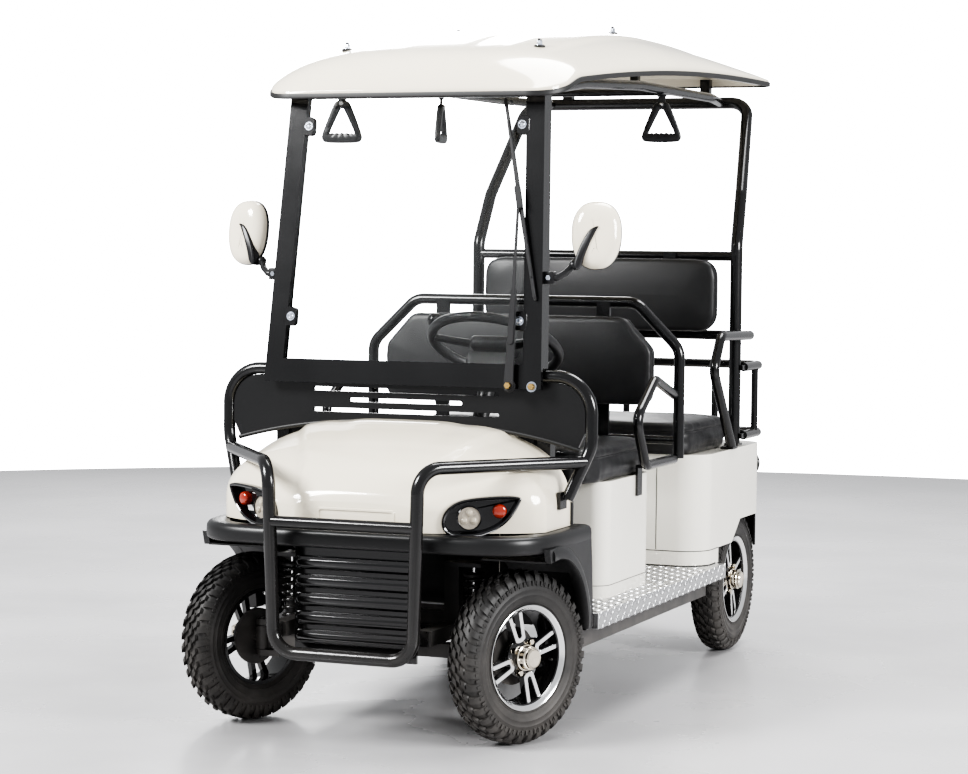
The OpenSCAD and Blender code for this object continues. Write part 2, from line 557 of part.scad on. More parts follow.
module rear_rack() color("#111113") vehicle() {
  for (z = [664, 878]) bent_tube([[-rack_x, rack_y0, z], [-rack_x, rack_y1, z], [rack_x, rack_y1, z], [rack_x, rack_y0, z]], 28, 40);
  for (x = [-300, 0, 300]) bar([x, rack_y1, 664], [x, rack_y1, 878], 22);
  both_sides() bar([rack_x, 1880, 664], [rack_x, 1880, 878], 22);
  for (x = [-240, 0, 240]) bar([x, rack_y0, 664], [x, rack_y1, 664], 18);
  for (x = [-240, 240]) bar([x, 1850, body_top_z + clear], [x, 1850, 664], 16);
  bar([-rack_x, rack_y0 + 10, 664], [rack_x, rack_y0 + 10, 664], 18);
  // lugs bolted to the hoop's pillars
  both_sides() for (z = [664, 878])
    beam([hoop_half + hoop_tube_d / 2 + clear, 1712, z - 8], [rack_x + 8, rack_y0 + 8, z + 8]);
}
body_corner = 88;
tail_turn = 42;
module tail_place() translate([body_half_w - body_corner, body_y1 - body_corner, 566])
  rotate([0, 0, tail_turn]) rotate([0, 90, 0]) translate([0, 0, body_corner]) children();
module tail_lamps() color("#b02020") vehicle() both_sides() tail_place()
  translate([0, 0, -10]) cylinder(h = 18, r = 30);
module rear_bumper() color("#161618") vehicle() {
  difference() {
    round_box(body_half_w - 6, 1700, body_y1 - 4, 306, arch_top - clear, 70);
    round_box(body_half_w - 14, 1600, body_y1 - 12, 300, arch_top + past, 62);
    beam([-body_half_w - past, 1690, 300], [body_half_w + past, 1876, arch_top + past]);
  }
  both_sides() beam([rail_x - 14, body_y1 - 20, rail_z1], [rail_x + 14, body_y1 - 8, arch_top - 40]);
  beam([-60, rail_rear_y, rail_z0], [60, rail_rear_y + 8, rail_z1 + 20]);
  // tow jaw with a pin hole
  difference() {
    beam([-30, rail_rear_y + 8, rail_z0 + 2], [30, hitch_rear_y, rail_z1]);
    beam([-31, rail_rear_y + 30, rail_z0 + 12], [31, hitch_rear_y + past, rail_z1 - 10]);
    translate([0, hitch_rear_y - 26, rail_z0]) cylinder(h = 60, r = hitch_pin_r);
  }
}
hitch_pin_r = 8;

// ---- axles and steering ----
ear_t = 16;
boss_h = 60;
boss_r = 18;
kingpin_d = 18;
module front_axle() color("#1b1b1d") vehicle() {
  beam([-kingpin_x + 54, -17, axle_z - 18], [kingpin_x - 54, 17, axle_z + 18]);
  both_sides() translate([kingpin_x, 0, axle_z]) {
    beam([-56, -15, -boss_h / 2 - 2 - ear_t], [-40, 15, boss_h / 2 + 2 + ear_t]);
    for (m = [0, 1]) mirror([0, 0, m]) {
      beam([-50, -15, boss_h / 2 + 2], [0, 15, boss_h / 2 + 2 + ear_t]);
      translate([0, 0, boss_h / 2 + 2]) cylinder(h = ear_t, r = 16);
    }
    cylinder(h = boss_h + 4 + 2 * ear_t + 8, d = kingpin_d, center = true);
  }
  both_sides() translate([tower_x, 0, axle_z + 18]) cylinder(h = 6, r = 26);
}
module damper(x, y, z0, z1) translate([x, y, z0]) {
  cylinder(h = (z1 - z0) * 0.62, r = 15);
  cylinder(h = z1 - z0, r = 8);
  translate([0, 0, z1 - z0 - 6]) cylinder(h = 6, r = 28);
  cylinder(h = 6, r = 28);
  // coil, as its rings
  for (i = [1:7]) translate([0, 0, 6 + i * (z1 - z0 - 12) / 8]) rotate_extrude() translate([24, 0]) circle(4);
  for (a = [0, 180]) rotate([0, 0, a]) translate([23, -3, 3]) cube([3, 6, z1 - z0 - 6]);
}
module front_dampers() color("#303236") vehicle() both_sides()
  damper(tower_x, 0, axle_z + 24 + clear, tower_z - clear);
module rear_axle() color("#1b1b1d") vehicle() translate([0, wheelbase, axle_z]) {
  rotate([0, 90, 0]) cylinder(h = rear_track - 52, d = 52, center = true);
  rotate([0, 90, 0]) cylinder(h = rear_track + 2 * spindle_reach, d = spindle_d, center = true);
  both_sides() translate([rear_track / 2 - 29, 0, 0]) rotate([0, 90, 0]) cylinder(h = 6, r = 74);
  // motor and gear case, on one side of the middle
  translate([70, 20, 0]) rotate([0, 90, 0]) cylinder(h = 150, r = 62, center = true);
  both_sides() translate([rear_tower_x, 0, 16]) cylinder(h = 16, r = 28);
  // arms that carry the axle, pinned under the floor frame
  both_sides() beam([rail_x - 14, -300, -14], [rail_x + 14, 0, 8]);
  both_sides() beam([rail_x - 14, -320, -14], [rail_x + 14, -296, rail_z0 - axle_z]);
}
module rear_dampers() color("#303236") vehicle() both_sides()
  damper(rear_tower_x, wheelbase, axle_z + 32 + clear, tower_z - clear);

arm_eye = [0, 96];
rod_z = 24;
eye_r = 11;
ball_d = 10;
plate_x = 22;
spindle_reach = 30;
// A knuckle, drawn for the left side with its wheel straight ahead, about its own kingpin
module knuckle() {
  difference() {
    union() {
      cylinder(h = boss_h, r = boss_r, center = true);
      rotate([0, 90, 0]) cylinder(h = plate_x + 3, r = 16);
      translate([0, 0, -24]) linear_extrude(14) {
        polygon([[-12, 0], [14, 0], [arm_eye[0] + 9, arm_eye[1]], [arm_eye[0] - 9, arm_eye[1]]]);
        translate(arm_eye) circle(eye_r);
      }
    }
    cylinder(h = boss_h + 2 * past, d = kingpin_d + 2 * run_clear, center = true);
  }
  // brake back plate and drum
  translate([plate_x, 0, 0]) rotate([0, 90, 0]) cylinder(h = 6, r = 74);
  rotate([0, 90, 0]) translate([0, 0, plate_x]) cylinder(h = kingpin_offset + spindle_reach - plate_x, d = spindle_d);
  // ball pin for the tie rod
  translate([arm_eye[0], arm_eye[1], -12]) cylinder(h = rod_z + 12 + 9, d = ball_d);
}
module knuckle_left() color("#232426") vehicle() translate([kingpin_x, 0, axle_z]) rotate([0, 0, -steer_stop]) knuckle();
module knuckle_right() color("#232426") vehicle() translate([-kingpin_x, 0, axle_z]) rotate([0, 0, -steer_stop]) mirror([1, 0, 0]) knuckle();
function turned(p, a) = [p[0] * cos(a) - p[1] * sin(a), p[0] * sin(a) + p[1] * cos(a)];
left_eye = turned(arm_eye, -steer_stop) + [kingpin_x, 0];
right_eye = turned([-arm_eye[0], arm_eye[1]], -steer_stop) + [-kingpin_x, 0];
module tie_rod() color("#2a2b2d") vehicle() difference() {
  union() {
    bar([left_eye[0], left_eye[1], axle_z + rod_z], [right_eye[0], right_eye[1], axle_z + rod_z], 15);
    for (e = [left_eye, right_eye]) translate([e[0], e[1], axle_z + rod_z]) cylinder(h = 16, r = eye_r, center = true);
  }
  translate([left_eye[0], left_eye[1], axle_z]) cylinder(h = 60, d = ball_d + 2 * run_clear);
  translate([right_eye[0], right_eye[1], axle_z]) cylinder(h = 60, d = ball_d + 1.2);
}

column_top = [160, 372, 986];
column_tilt = -28;
module on_column() translate(column_top) rotate([column_tilt, 0, 0]) children();
column_len = 262;
module steering_column() color("#1a1a1c") vehicle() {
  on_column() difference() {
    union() {
      translate([0, 0, -column_len]) cylinder(h = column_len - 34, d = 44);
      translate([-58, -38, -96]) cube([116, 84, 58]);
    }
    translate([0, 0, -column_len - past]) cylinder(h = column_len, d = steering_shaft_d + 2 * run_clear);
  }
  beam([column_top[0] - 40, dash_rear_y + clear, 712], [column_top[0] + 40, dash_rear_y + 34, 752]);
}
dash_rear_y = 226;
module dashboard() color("#232326") vehicle() difference() {
  beam([-post_in + clear, cowl_y1 + clear, 560], [post_in - clear, dash_rear_y, 792]);
  // glove tray
  beam([-300, dash_rear_y - 34, 660], [-40, dash_rear_y + past, 752]);
}
module steering_wheel() color("#1b1b1d") vehicle() on_column() {
  rotate_extrude($fn = 64) translate([steering_d / 2 - 13, 0]) circle(13, $fn = 24);
  translate([0, 0, -22]) cylinder(h = 26, r = 44);
  for (a = [-20, 90, 200]) rotate([0, 0, a]) translate([30, -14, -14]) cube([steering_d / 2 - 40, 28, 10]);
  translate([0, 0, -140]) cylinder(h = 130, d = steering_shaft_d);
}
module pedals() color("#222224") vehicle() for (x = [110, 200]) {
  translate([x, 318, 352]) rotate([-50, 0, 0]) translate([-26, 0, -44]) cube([52, 8, 88]);
  bar([x, 322, 356], [x, 278, deck_z + 6], 12);
  beam([x - 14, 264, deck_z + clear], [x + 14, 292, deck_z + 8]);
}

// ---- wheels ----
// A tyre's section, as distance from the axle and along it
tread_round = 18;
tyre_wall = bead_d / 2 + clear;
module tyre() rotate_extrude($fn = 96) intersection() {
  translate([tyre_wall, -tyre_w / 2]) square([tyre_d / 2 - tyre_wall, tyre_w]);
  union() {
    translate([tyre_wall, -tyre_w / 2 + 8]) square([40, tyre_w - 16]);
    translate([tyre_wall + 16, -tyre_w / 2]) square([tyre_d / 2 - tyre_wall - 16 - tread_round - 12, tyre_w]);
    translate([tyre_wall + 30, -tyre_w / 2 + tread_round]) square([tyre_d / 2 - tyre_wall - 30, tyre_w - 2 * tread_round]);
    for (s = SIDES) translate([tyre_d / 2 - 30, s * (tyre_w / 2 - 30)]) circle(30);
  }
}
rim_w = 72;
rim_t = 9;
flange_r = bead_d / 2 + 14;
hub_r = 38;
spoke_z = 14;
spoke_t = 16;
module rim() {
  difference() {
    union() {
      rotate_extrude($fn = 96) {
        translate([bead_d / 2 - rim_t, -rim_w / 2]) square([rim_t, rim_w]);
      }
      translate([0, 0, -6]) cylinder(h = 44, r = hub_r);
      for (k = [0:3]) rotate([0, 0, 20 + 90 * k]) for (s = SIDES)
        translate([hub_r - 8, s * 20 - 8, spoke_z]) cube([bead_d / 2 - rim_t / 2 - hub_r + 8, 16, spoke_t]);
    }
    translate([0, 0, -20]) cylinder(h = 52, d = spindle_d + 2 * run_clear);
  }
  translate([0, 0, 38]) cylinder(h = 24, r1 = 34, r2 = 26);
}
// Turns a wheel drawn about Z so that its face looks along +X
module wheel_face() rotate([0, 90, 0]) children();
module front_wheel_place(s) vehicle() translate([s * kingpin_x, 0, axle_z]) rotate([0, 0, -steer_stop])
  scale_x(s) translate([kingpin_offset, 0, 0]) wheel_face() children();
module rear_wheel_place(s) vehicle() translate([0, wheelbase, axle_z]) scale_x(s)
  translate([rear_track / 2, 0, 0]) wheel_face() children();
module tyre_front_left() color("#1d1d1f") front_wheel_place(1) tyre();
module tyre_front_right() color("#1d1d1f") front_wheel_place(-1) tyre();
module tyre_rear_left() color("#1d1d1f") rear_wheel_place(1) tyre();
module tyre_rear_right() color("#1d1d1f") rear_wheel_place(-1) tyre();
module rim_front_left() color("#9a9ca0") front_wheel_place(1) rim();
module rim_front_right() color("#9a9ca0") front_wheel_place(-1) rim();
module rim_rear_left() color("#9a9ca0") rear_wheel_place(1) rim();
module rim_rear_right() color("#9a9ca0") rear_wheel_place(-1) rim();

chassis_frame();
battery_block();
floor_deck();
front_cowl();
front_wings();
front_grille();
front_guard();
headlamps();
dash_panel();
dash_hoop();
dashboard();
windscreen_frame();
windscreen_glass();
wiper();
mirrors();
roof_shell();
roof_rails();
rear_hoop();
grab_handles();
front_seat_box();
front_seat_cushion();
front_seat_back();
front_seat_hoop();
front_armrests();
rear_body();
rear_seat_cushion();
rear_seat_back();
rear_armrests();
rear_rack();
tail_lamps();
rear_bumper();
front_axle();
front_dampers();
rear_axle();
rear_dampers();
knuckle_left();
knuckle_right();
tie_rod();
steering_column();
steering_wheel();
pedals();
tyre_front_left();
rim_front_left();
tyre_front_right();
rim_front_right();
tyre_rear_left();
rim_rear_left();
tyre_rear_right();
rim_rear_right();
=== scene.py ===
import math
import bmesh
import bpy
from mathutils import Euler, Matrix, Vector, noise


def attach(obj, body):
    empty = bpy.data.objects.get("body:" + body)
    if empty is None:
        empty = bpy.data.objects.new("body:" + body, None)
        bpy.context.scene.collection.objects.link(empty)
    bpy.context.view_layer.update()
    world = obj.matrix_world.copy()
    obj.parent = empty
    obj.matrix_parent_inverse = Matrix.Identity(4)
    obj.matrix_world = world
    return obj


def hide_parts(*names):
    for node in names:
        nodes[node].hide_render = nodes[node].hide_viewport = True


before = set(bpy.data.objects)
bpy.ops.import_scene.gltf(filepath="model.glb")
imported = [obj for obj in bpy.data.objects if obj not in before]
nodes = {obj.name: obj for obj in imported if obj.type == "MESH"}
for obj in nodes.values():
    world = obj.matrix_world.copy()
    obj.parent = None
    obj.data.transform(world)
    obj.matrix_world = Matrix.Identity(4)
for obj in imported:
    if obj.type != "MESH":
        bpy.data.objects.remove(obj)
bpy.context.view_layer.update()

# ---- Studio ----
# A pale floor that runs out to a white surround, three large soft lamps and a long lens at
# the height of a standing person.


def node(tree, kind, inputs=None, **settings):
    """A new node with those settings and input values."""
    made = tree.nodes.new(kind)
    for label, value in settings.items():
        setattr(made, label, value)
    for label, value in (inputs or {}).items():
        made.inputs[label].default_value = value
    return made


def wire(tree, *links):
    """Links the nodes of a tree, each link as a node, its output, a node and its input."""
    for source, output, target, entry in links:
        tree.links.new(source.outputs[output], target.inputs[entry])


lens = bpy.data.cameras.new("lens")
lens.lens = 96.36
lens.sensor_width = 36
camera = bpy.data.objects.new("camera", lens)
bpy.context.scene.collection.objects.link(camera)
turn, dip, roll = math.radians(21.77), math.radians(3.23), math.radians(0.56)
level = Vector((math.cos(turn), math.sin(turn), 0))
ahead = Vector((-math.sin(turn) * math.cos(dip), math.cos(turn) * math.cos(dip), -math.sin(dip)))
upward = level.cross(ahead)
right = level * math.cos(roll) + upward * math.sin(roll)
top = upward * math.cos(roll) - level * math.sin(roll)
camera.matrix_world = Matrix.Translation((2.702, -6.984, 1.265)) @ Matrix((
    (right.x, top.x, -ahead.x), (right.y, top.y, -ahead.y), (right.z, top.z, -ahead.z))).to_4x4()
bpy.context.scene.camera = camera

for name, place, aim, size, power in (
        ("key", (-3.4, -4.6, 4.2), (0, 0, 0.6), 2.2, 430),
        ("side", (5.2, -1.6, 2.6), (0, 0, 0.8), 2.0, 240),
        ("above", (0.6, 1.4, 5.2), (0, 0, 0.9), 3.6, 260),
        ("back", (-2.5, 5.0, 3.0), (0, 0, 0.9), 2.6, 120)):
    light = bpy.data.lights.new(name, "AREA")
    light.shape = "DISK"
    light.size = size
    light.energy = power
    lamp = bpy.data.objects.new(name, light)
    lamp.matrix_world = Matrix.Translation(place) @ (
        Vector(aim) - Vector(place)).to_track_quat("-Z", "Y").to_matrix().to_4x4()
    bpy.context.scene.collection.objects.link(lamp)

world = bpy.data.worlds.new("surround")
world.use_nodes = True
bpy.context.scene.world = world
bpy.context.scene.view_settings.look = "AgX - High Contrast"
bpy.context.scene.view_settings.exposure = 0.35
sky = world.node_tree.nodes["Background"]
sky.inputs["Color"].default_value = (0.97, 0.98, 1.0, 1)
seen = node(world.node_tree, "ShaderNodeLightPath")
strength = node(world.node_tree, "ShaderNodeMapRange", {"To Min": 0.50, "To Max": 7.0})
through = node(world.node_tree, "ShaderNodeMath", operation="MAXIMUM")
wire(world.node_tree, (seen, "Is Camera Ray", through, 0))
bounced = node(world.node_tree, "ShaderNodeMath", operation="ADD")
wire(world.node_tree, (seen, "Diffuse Depth", bounced, 0), (seen, "Glossy Depth", bounced, 1))
straight = node(world.node_tree, "ShaderNodeMath", {1: 0.5}, operation="LESS_THAN")
wire(world.node_tree, (bounced, "Value", straight, 0))
clear = node(world.node_tree, "ShaderNodeMath", operation="MULTIPLY")
wire(world.node_tree, (straight, "Value", clear, 0), (seen, "Is Transmission Ray", clear, 1),
     (clear, "Value", through, 1), (through, "Value", strength, "Value"),
     (strength, "Result", sky, "Strength"))

floor_mesh = bpy.data.meshes.new("studio_floor")
form = bmesh.new()
bmesh.ops.create_circle(form, cap_ends=True, segments=96, radius=7.0)
form.to_mesh(floor_mesh)
form.free()
studio_floor = bpy.data.objects.new("studio_floor", floor_mesh)
bpy.context.scene.collection.objects.link(studio_floor)
floor_finish = bpy.data.materials.new("studio_floor")
floor_finish.use_nodes = True
tree = floor_finish.node_tree
floor_shader = tree.nodes["Principled BSDF"]
floor_shader.inputs["Specular IOR Level"].default_value = 0.45
where = node(tree, "ShaderNodeTexCoord")
cloud = node(tree, "ShaderNodeTexNoise", {"Scale": 1.3, "Detail": 7})
tone = node(tree, "ShaderNodeMix", {"A": (0.40, 0.395, 0.40, 1), "B": (0.56, 0.555, 0.56, 1)},
            data_type="RGBA")
gloss = node(tree, "ShaderNodeMapRange", {"To Min": 0.16, "To Max": 0.38})
wire(tree, (where, "Object", cloud, "Vector"), (cloud, "Fac", tone, "Factor"),
     (cloud, "Fac", gloss, "Value"), (tone, "Result", floor_shader, "Base Color"),
     (gloss, "Result", floor_shader, "Roughness"))
floor_mesh.materials.append(floor_finish)

# ---- Chassis and tube work ----
# Box rails, cross members and bent tubes of mild steel, welded up and powder coated gloss
# black, with the welds and sheet edges rounded by the powder; here they are shaded smooth only.


def shade_group(name, sockets, results):
    """A shader node group with those inputs and outputs, and its own input and output nodes."""
    group = bpy.data.node_groups.new(name, "ShaderNodeTree")
    for label, kind, value in sockets:
        group.interface.new_socket(label, in_out="INPUT", socket_type=kind).default_value = value
    for label, kind in results:
        group.interface.new_socket(label, in_out="OUTPUT", socket_type=kind)
    return group, group.nodes.new("NodeGroupInput"), group.nodes.new("NodeGroupOutput")


# cloudy change over a surface: a grey from 0 to 1, and a fine grain as a height
cloud_group, cloud_in, cloud_out = shade_group(
    "cloud_and_grain",
    [("Cloud Scale", "NodeSocketFloat", 6.0), ("Grain Scale", "NodeSocketFloat", 600.0)],
    [("Cloud", "NodeSocketFloat"), ("Grain", "NodeSocketFloat")])
spot = node(cloud_group, "ShaderNodeTexCoord")
for source, label, scale, detail in ((cloud_in, "Cloud", "Cloud Scale", 5),
                                     (cloud_in, "Grain", "Grain Scale", 2)):
    haze = node(cloud_group, "ShaderNodeTexNoise", {"Detail": detail})
    wire(cloud_group, (spot, "Object", haze, "Vector"), (source, scale, haze, "Scale"),
         (haze, "Fac", cloud_out, label))

# road dust: strongest at Low, gone at High, broken up by a cloud
dust_group, dust_in, dust_out = shade_group(
    "road_dust",
    [("Low", "NodeSocketFloat", 0.0), ("High", "NodeSocketFloat", 0.6),
     ("Amount", "NodeSocketFloat", 0.3)],
    [("Dust", "NodeSocketFloat")])
spot = node(dust_group, "ShaderNodeTexCoord")
split = node(dust_group, "ShaderNodeSeparateXYZ")
fade = node(dust_group, "ShaderNodeMapRange", {"To Min": 1, "To Max": 0})
haze = node(dust_group, "ShaderNodeTexNoise", {"Scale": 16, "Detail": 8})
broken = node(dust_group, "ShaderNodeMath", operation="MULTIPLY")
amount = node(dust_group, "ShaderNodeMath", operation="MULTIPLY")
wire(dust_group, (spot, "Object", split, 0), (spot, "Object", haze, "Vector"),
     (split, "Z", fade, "Value"), (dust_in, "Low", fade, "From Min"),
     (dust_in, "High", fade, "From Max"), (fade, "Result", broken, 0), (haze, "Fac", broken, 1),
     (broken, 0, amount, 0), (dust_in, "Amount", amount, 1), (amount, 0, dust_out, "Dust"))


def finish(name, colour, rough, metal=0.0, coat=0.0, shift=0.12, spread=0.06, clouds=6.0,
           grain=600.0, bump=0.05, depth=0.0003, dust=None):
    """A finish whose colour and gloss wander a little, with a fine grain and road dust."""
    made = bpy.data.materials.new(name)
    made.use_nodes = True
    t = made.node_tree
    shader = t.nodes["Principled BSDF"]
    shader.inputs["Metallic"].default_value = metal
    shader.inputs["Coat Weight"].default_value = coat
    shader.inputs["Coat Roughness"].default_value = 0.04
    look = node(t, "ShaderNodeGroup", {"Cloud Scale": clouds, "Grain Scale": grain},
                node_tree=cloud_group)
    tint = node(t, "ShaderNodeMix", {"A": (*[c * (1 - shift) for c in colour], 1),
                                     "B": (*[min(1, c * (1 + shift)) for c in colour], 1)},
                                     data_type="RGBA")
    wire(t, (look, "Cloud", tint, "Factor"))
    result = tint.outputs["Result"]
    if dust:
        dirt = node(t, "ShaderNodeGroup", node_tree=dust_group)
        for label, value in zip(("Low", "High", "Amount"), dust):
            dirt.inputs[label].default_value = value
        dusty = node(t, "ShaderNodeMix", {"B": (0.33, 0.30, 0.27, 1)}, data_type="RGBA")
        wire(t, (dirt, "Dust", dusty, "Factor"))
        t.links.new(result, dusty.inputs["A"])
        result = dusty.outputs["Result"]
    t.links.new(result, shader.inputs["Base Color"])
    sheen = node(t, "ShaderNodeMapRange", {"To Min": max(0.02, rough - spread),
                                           "To Max": min(1, rough + spread)})
    wire(t, (look, "Cloud", sheen, "Value"), (sheen, "Result", shader, "Roughness"))
    relief = node(t, "ShaderNodeBump", {"Strength": bump, "Distance": depth})
    wire(t, (look, "Grain", relief, "Height"), (relief, "Normal", shader, "Normal"))
    return made


powder_black = finish("powder_black", (0.006, 0.006, 0.0065), 0.20, coat=0.25, grain=420, bump=0.22,
                      depth=0.0004, dust=(0.15, 0.75, 0.10))
axle_black = finish("axle_black", (0.016, 0.016, 0.017), 0.42, grain=300, bump=0.3,
                    dust=(0.05, 0.5, 0.45))
zinc = finish("zinc_bolt", (0.62, 0.66, 0.74), 0.22, metal=1.0, clouds=40, shift=0.2)

# welds the loose triangles of a made solid for shading, with its true edges kept sharp
soften = bpy.data.node_groups.new("soften_solid", "GeometryNodeTree")
soften.interface.new_socket("Geometry", in_out="INPUT", socket_type="NodeSocketGeometry")
soften.interface.new_socket("Sharp Angle", in_out="INPUT", socket_type="NodeSocketFloat")
soften.interface.new_socket("Geometry", in_out="OUTPUT", socket_type="NodeSocketGeometry")
soften_in = node(soften, "NodeGroupInput")
soften_out = node(soften, "NodeGroupOutput")
weld = node(soften, "GeometryNodeMergeByDistance", {"Distance": 0.00002})
smooth_faces = node(soften, "GeometryNodeSetShadeSmooth")
sharp_edges = node(soften, "GeometryNodeSetShadeSmooth", {"Shade Smooth": False}, domain="EDGE")
edge_turn = node(soften, "GeometryNodeInputMeshEdgeAngle")
is_sharp = node(soften, "FunctionNodeCompare")
wire(soften, (soften_in, "Geometry", weld, "Geometry"),
     (weld, "Geometry", smooth_faces, "Geometry"),
     (smooth_faces, "Geometry", sharp_edges, "Geometry"),
     (edge_turn, "Unsigned Angle", is_sharp, 0), (soften_in, "Sharp Angle", is_sharp, 1),
     (is_sharp, 0, sharp_edges, "Selection"), (sharp_edges, "Geometry", soften_out, "Geometry"))
sharp_socket = next(s.identifier for s in soften.interface.items_tree if s.name == "Sharp Angle")


def dress(name, material, edge=0.0, sharp=32):
    """Gives a made solid its finish, smooth shading and, when an edge width is given, a small round on its
    edges.
    """
    o = nodes[name]
    o.data.materials.clear()
    o.data.materials.append(material)
    if "custom_normal" in o.data.attributes:
        o.data.attributes.remove(o.data.attributes["custom_normal"])
    softener = o.modifiers.new("soften", "NODES")
    softener.node_group = soften
    softener[sharp_socket] = math.radians(sharp)
    if edge:
        rounding = o.modifiers.new("edge", "BEVEL")
        rounding.width = edge
        rounding.segments = 2
        rounding.limit_method = "ANGLE"
        rounding.angle_limit = math.radians(40)
        rounding.use_clamp_overlap = True
        rounding.harden_normals = False


for name in ("front_guard", "dash_hoop", "rear_hoop", "roof_rails", "front_seat_hoop",
             "front_armrests",
             "rear_armrests", "rear_rack"):
    dress(name, powder_black)
dress("chassis_frame", axle_black)
for name in ("front_axle", "rear_axle", "knuckle_left", "knuckle_right", "tie_rod"):
    dress(name, axle_black)

# ---- Wheels ----
# Four 10 inch alloy wheels: gloss black castings with the flange and spoke faces turned
# bright, a plated hub cap with lug nuts, and block tread tyres.
wheel_turn = math.radians(22.8)
kingpin, wheel_offset, axle_y, axle_height = 0.343, 0.040, 0.912, 0.220


def spun(axis, degrees):
    """A turn about an axis."""
    return Matrix.Rotation(math.radians(degrees), 4, axis)


def wheel_place(side, front):
    """Where a wheel drawn round Z, with its face looking up, goes on the cart."""
    start = Matrix.Translation((0, axle_y * -1 if front else 0.768, axle_height))
    if front:
        start = Matrix.Translation((side * kingpin, -axle_y,
                                    axle_height)) @ Matrix.Rotation(-wheel_turn, 4, "Z")
    out = wheel_offset if front else 0.415
    return start @ Matrix.Diagonal((side, 1, 1,
                                    1)) @ Matrix.Translation((out, 0, 0)) @ Matrix.Rotation(
        math.pi / 2, 4, "Y")


def turned_form(profile, steps=96):
    """Points and faces of a closed outline, as radius and height, swept round Z."""
    points = [(r * math.cos(math.tau * i / steps), r * math.sin(math.tau * i / steps), z)
              for i in range(steps) for r, z in profile]
    n = len(profile)
    faces = [(i * n + j, i * n + (j + 1) % n, (i + 1) % steps * n + (j + 1) % n, (i + 1) % steps
              * n + j)
             for i in range(steps) for j in range(n)]
    return points, faces


def bands(rings, count, around=False):
    """Faces between rings of so many points each; around also joins the last to the first."""
    return [(k * count + i, k * count + (i + 1) % count, (k + 1) % rings * count + (i + 1) % count,
             (k + 1) % rings * count + i)
            for k in range(rings if around else rings - 1) for i in range(count)]


def build(name, points, faces, *finishes, sharp=35, merge=0.00001, choose=None):
    """A closed piece from points and faces, with its normals outwards and its true edges sharp."""
    mesh = bpy.data.meshes.new(name)
    mesh.from_pydata([tuple(p) for p in points], [], faces)
    form = bmesh.new()
    form.from_mesh(mesh)
    if choose:
        for face in form.faces:
            face.material_index = choose(face.calc_center_median(), face)
    bmesh.ops.remove_doubles(form, verts=form.verts, dist=merge)
    bmesh.ops.dissolve_degenerate(form, edges=form.edges, dist=merge)
    bmesh.ops.recalc_face_normals(form, faces=form.faces)
    form.to_mesh(mesh)
    form.free()
    mesh.shade_smooth()
    mesh.set_sharp_from_angle(angle=math.radians(sharp))
    for f in finishes:
        mesh.materials.append(f)
    o = bpy.data.objects.new(name, mesh)
    bpy.context.scene.collection.objects.link(o)
    return o


def placed(o, matrix):
    """Puts a piece in its place in the mesh, and turns its faces back if the place mirrors it."""
    o.data.transform(matrix)
    if matrix.to_3x3().determinant() < 0:
        o.data.flip_normals()
    return o


def joined(name, *parts):
    """One piece out of several."""
    form = bmesh.new()
    mesh = bpy.data.meshes.new(name)
    sharp_names = []
    for part in parts:
        for m in part.data.materials:
            if m.name not in sharp_names:
                sharp_names.append(m.name)
                mesh.materials.append(m)
        slots = [sharp_names.index(m.name) for m in part.data.materials]
        first = len(form.faces)
        form.from_mesh(part.data)
        form.faces.ensure_lookup_table()
        for face in form.faces[first:]:
            face.material_index = slots[face.material_index] if slots else 0
    form.to_mesh(mesh)
    form.free()
    for part in parts:
        bpy.data.objects.remove(part)
    o = bpy.data.objects.new(name, mesh)
    bpy.context.scene.collection.objects.link(o)
    return o


def settle(o, body, slot_name, *stands_for):
    """Gives a piece its body and hides the made solids that it stands for; its record slot is not used."""
    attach(o, body)
    if stands_for:
        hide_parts(*stands_for)
    return o


def geometry_tree(name, sockets):
    """A geometry node tree with Geometry in and out and those further inputs."""
    made = bpy.data.node_groups.new(name, "GeometryNodeTree")
    made.interface.new_socket("Geometry", in_out="INPUT", socket_type="NodeSocketGeometry")
    for label, kind in sockets:
        made.interface.new_socket(label, in_out="INPUT", socket_type=kind)
    made.interface.new_socket("Geometry", in_out="OUTPUT", socket_type="NodeSocketGeometry")
    return made, made.nodes.new("NodeGroupInput"), made.nodes.new("NodeGroupOutput")


def grown(o, growth, **values):
    """Runs a tree on a piece with those values, and keeps the result as its plain mesh."""
    worker = o.modifiers.new("growth", "NODES")
    worker.node_group = growth
    for item in growth.interface.items_tree:
        if item.in_out == "INPUT" and item.name.replace(" ", "_").lower() in values:
            worker[item.identifier] = values[item.name.replace(" ", "_").lower()]
    bpy.context.view_layer.update()
    result = bpy.data.meshes.new_from_object(o.evaluated_get(bpy.context.evaluated_depsgraph_get()))
    o.modifiers.clear()
    o.data = result
    return o


# copies of one piece, evenly round Z
ring_tree, ring_in, ring_out = geometry_tree("copies_in_a_ring", [
    ("Count", "NodeSocketInt"), ("Finish", "NodeSocketMaterial")])
spots = node(ring_tree, "GeometryNodeMeshLine", {"Offset": (0, 0, 0)})
number = node(ring_tree, "GeometryNodeInputIndex")
share = node(ring_tree, "ShaderNodeMath", operation="DIVIDE")
angle = node(ring_tree, "ShaderNodeMath", {1: math.tau}, operation="MULTIPLY")
about = node(ring_tree, "ShaderNodeCombineXYZ")
copies = node(ring_tree, "GeometryNodeInstanceOnPoints")
real = node(ring_tree, "GeometryNodeRealizeInstances")
coat = node(ring_tree, "GeometryNodeSetMaterial")
wire(ring_tree, (ring_in, "Count", spots, "Count"), (number, "Index", share, 0),
     (ring_in, "Count", share, 1), (share, 0, angle, 0), (angle, 0, about, "Z"),
     (spots, "Mesh", copies, "Points"), (ring_in, "Geometry", copies, "Instance"),
     (about, "Vector", copies, "Rotation"), (copies, "Instances", real, "Geometry"),
     (real, "Geometry", coat, "Geometry"), (ring_in, "Finish", coat, "Material"),
     (coat, "Geometry", ring_out, "Geometry"))

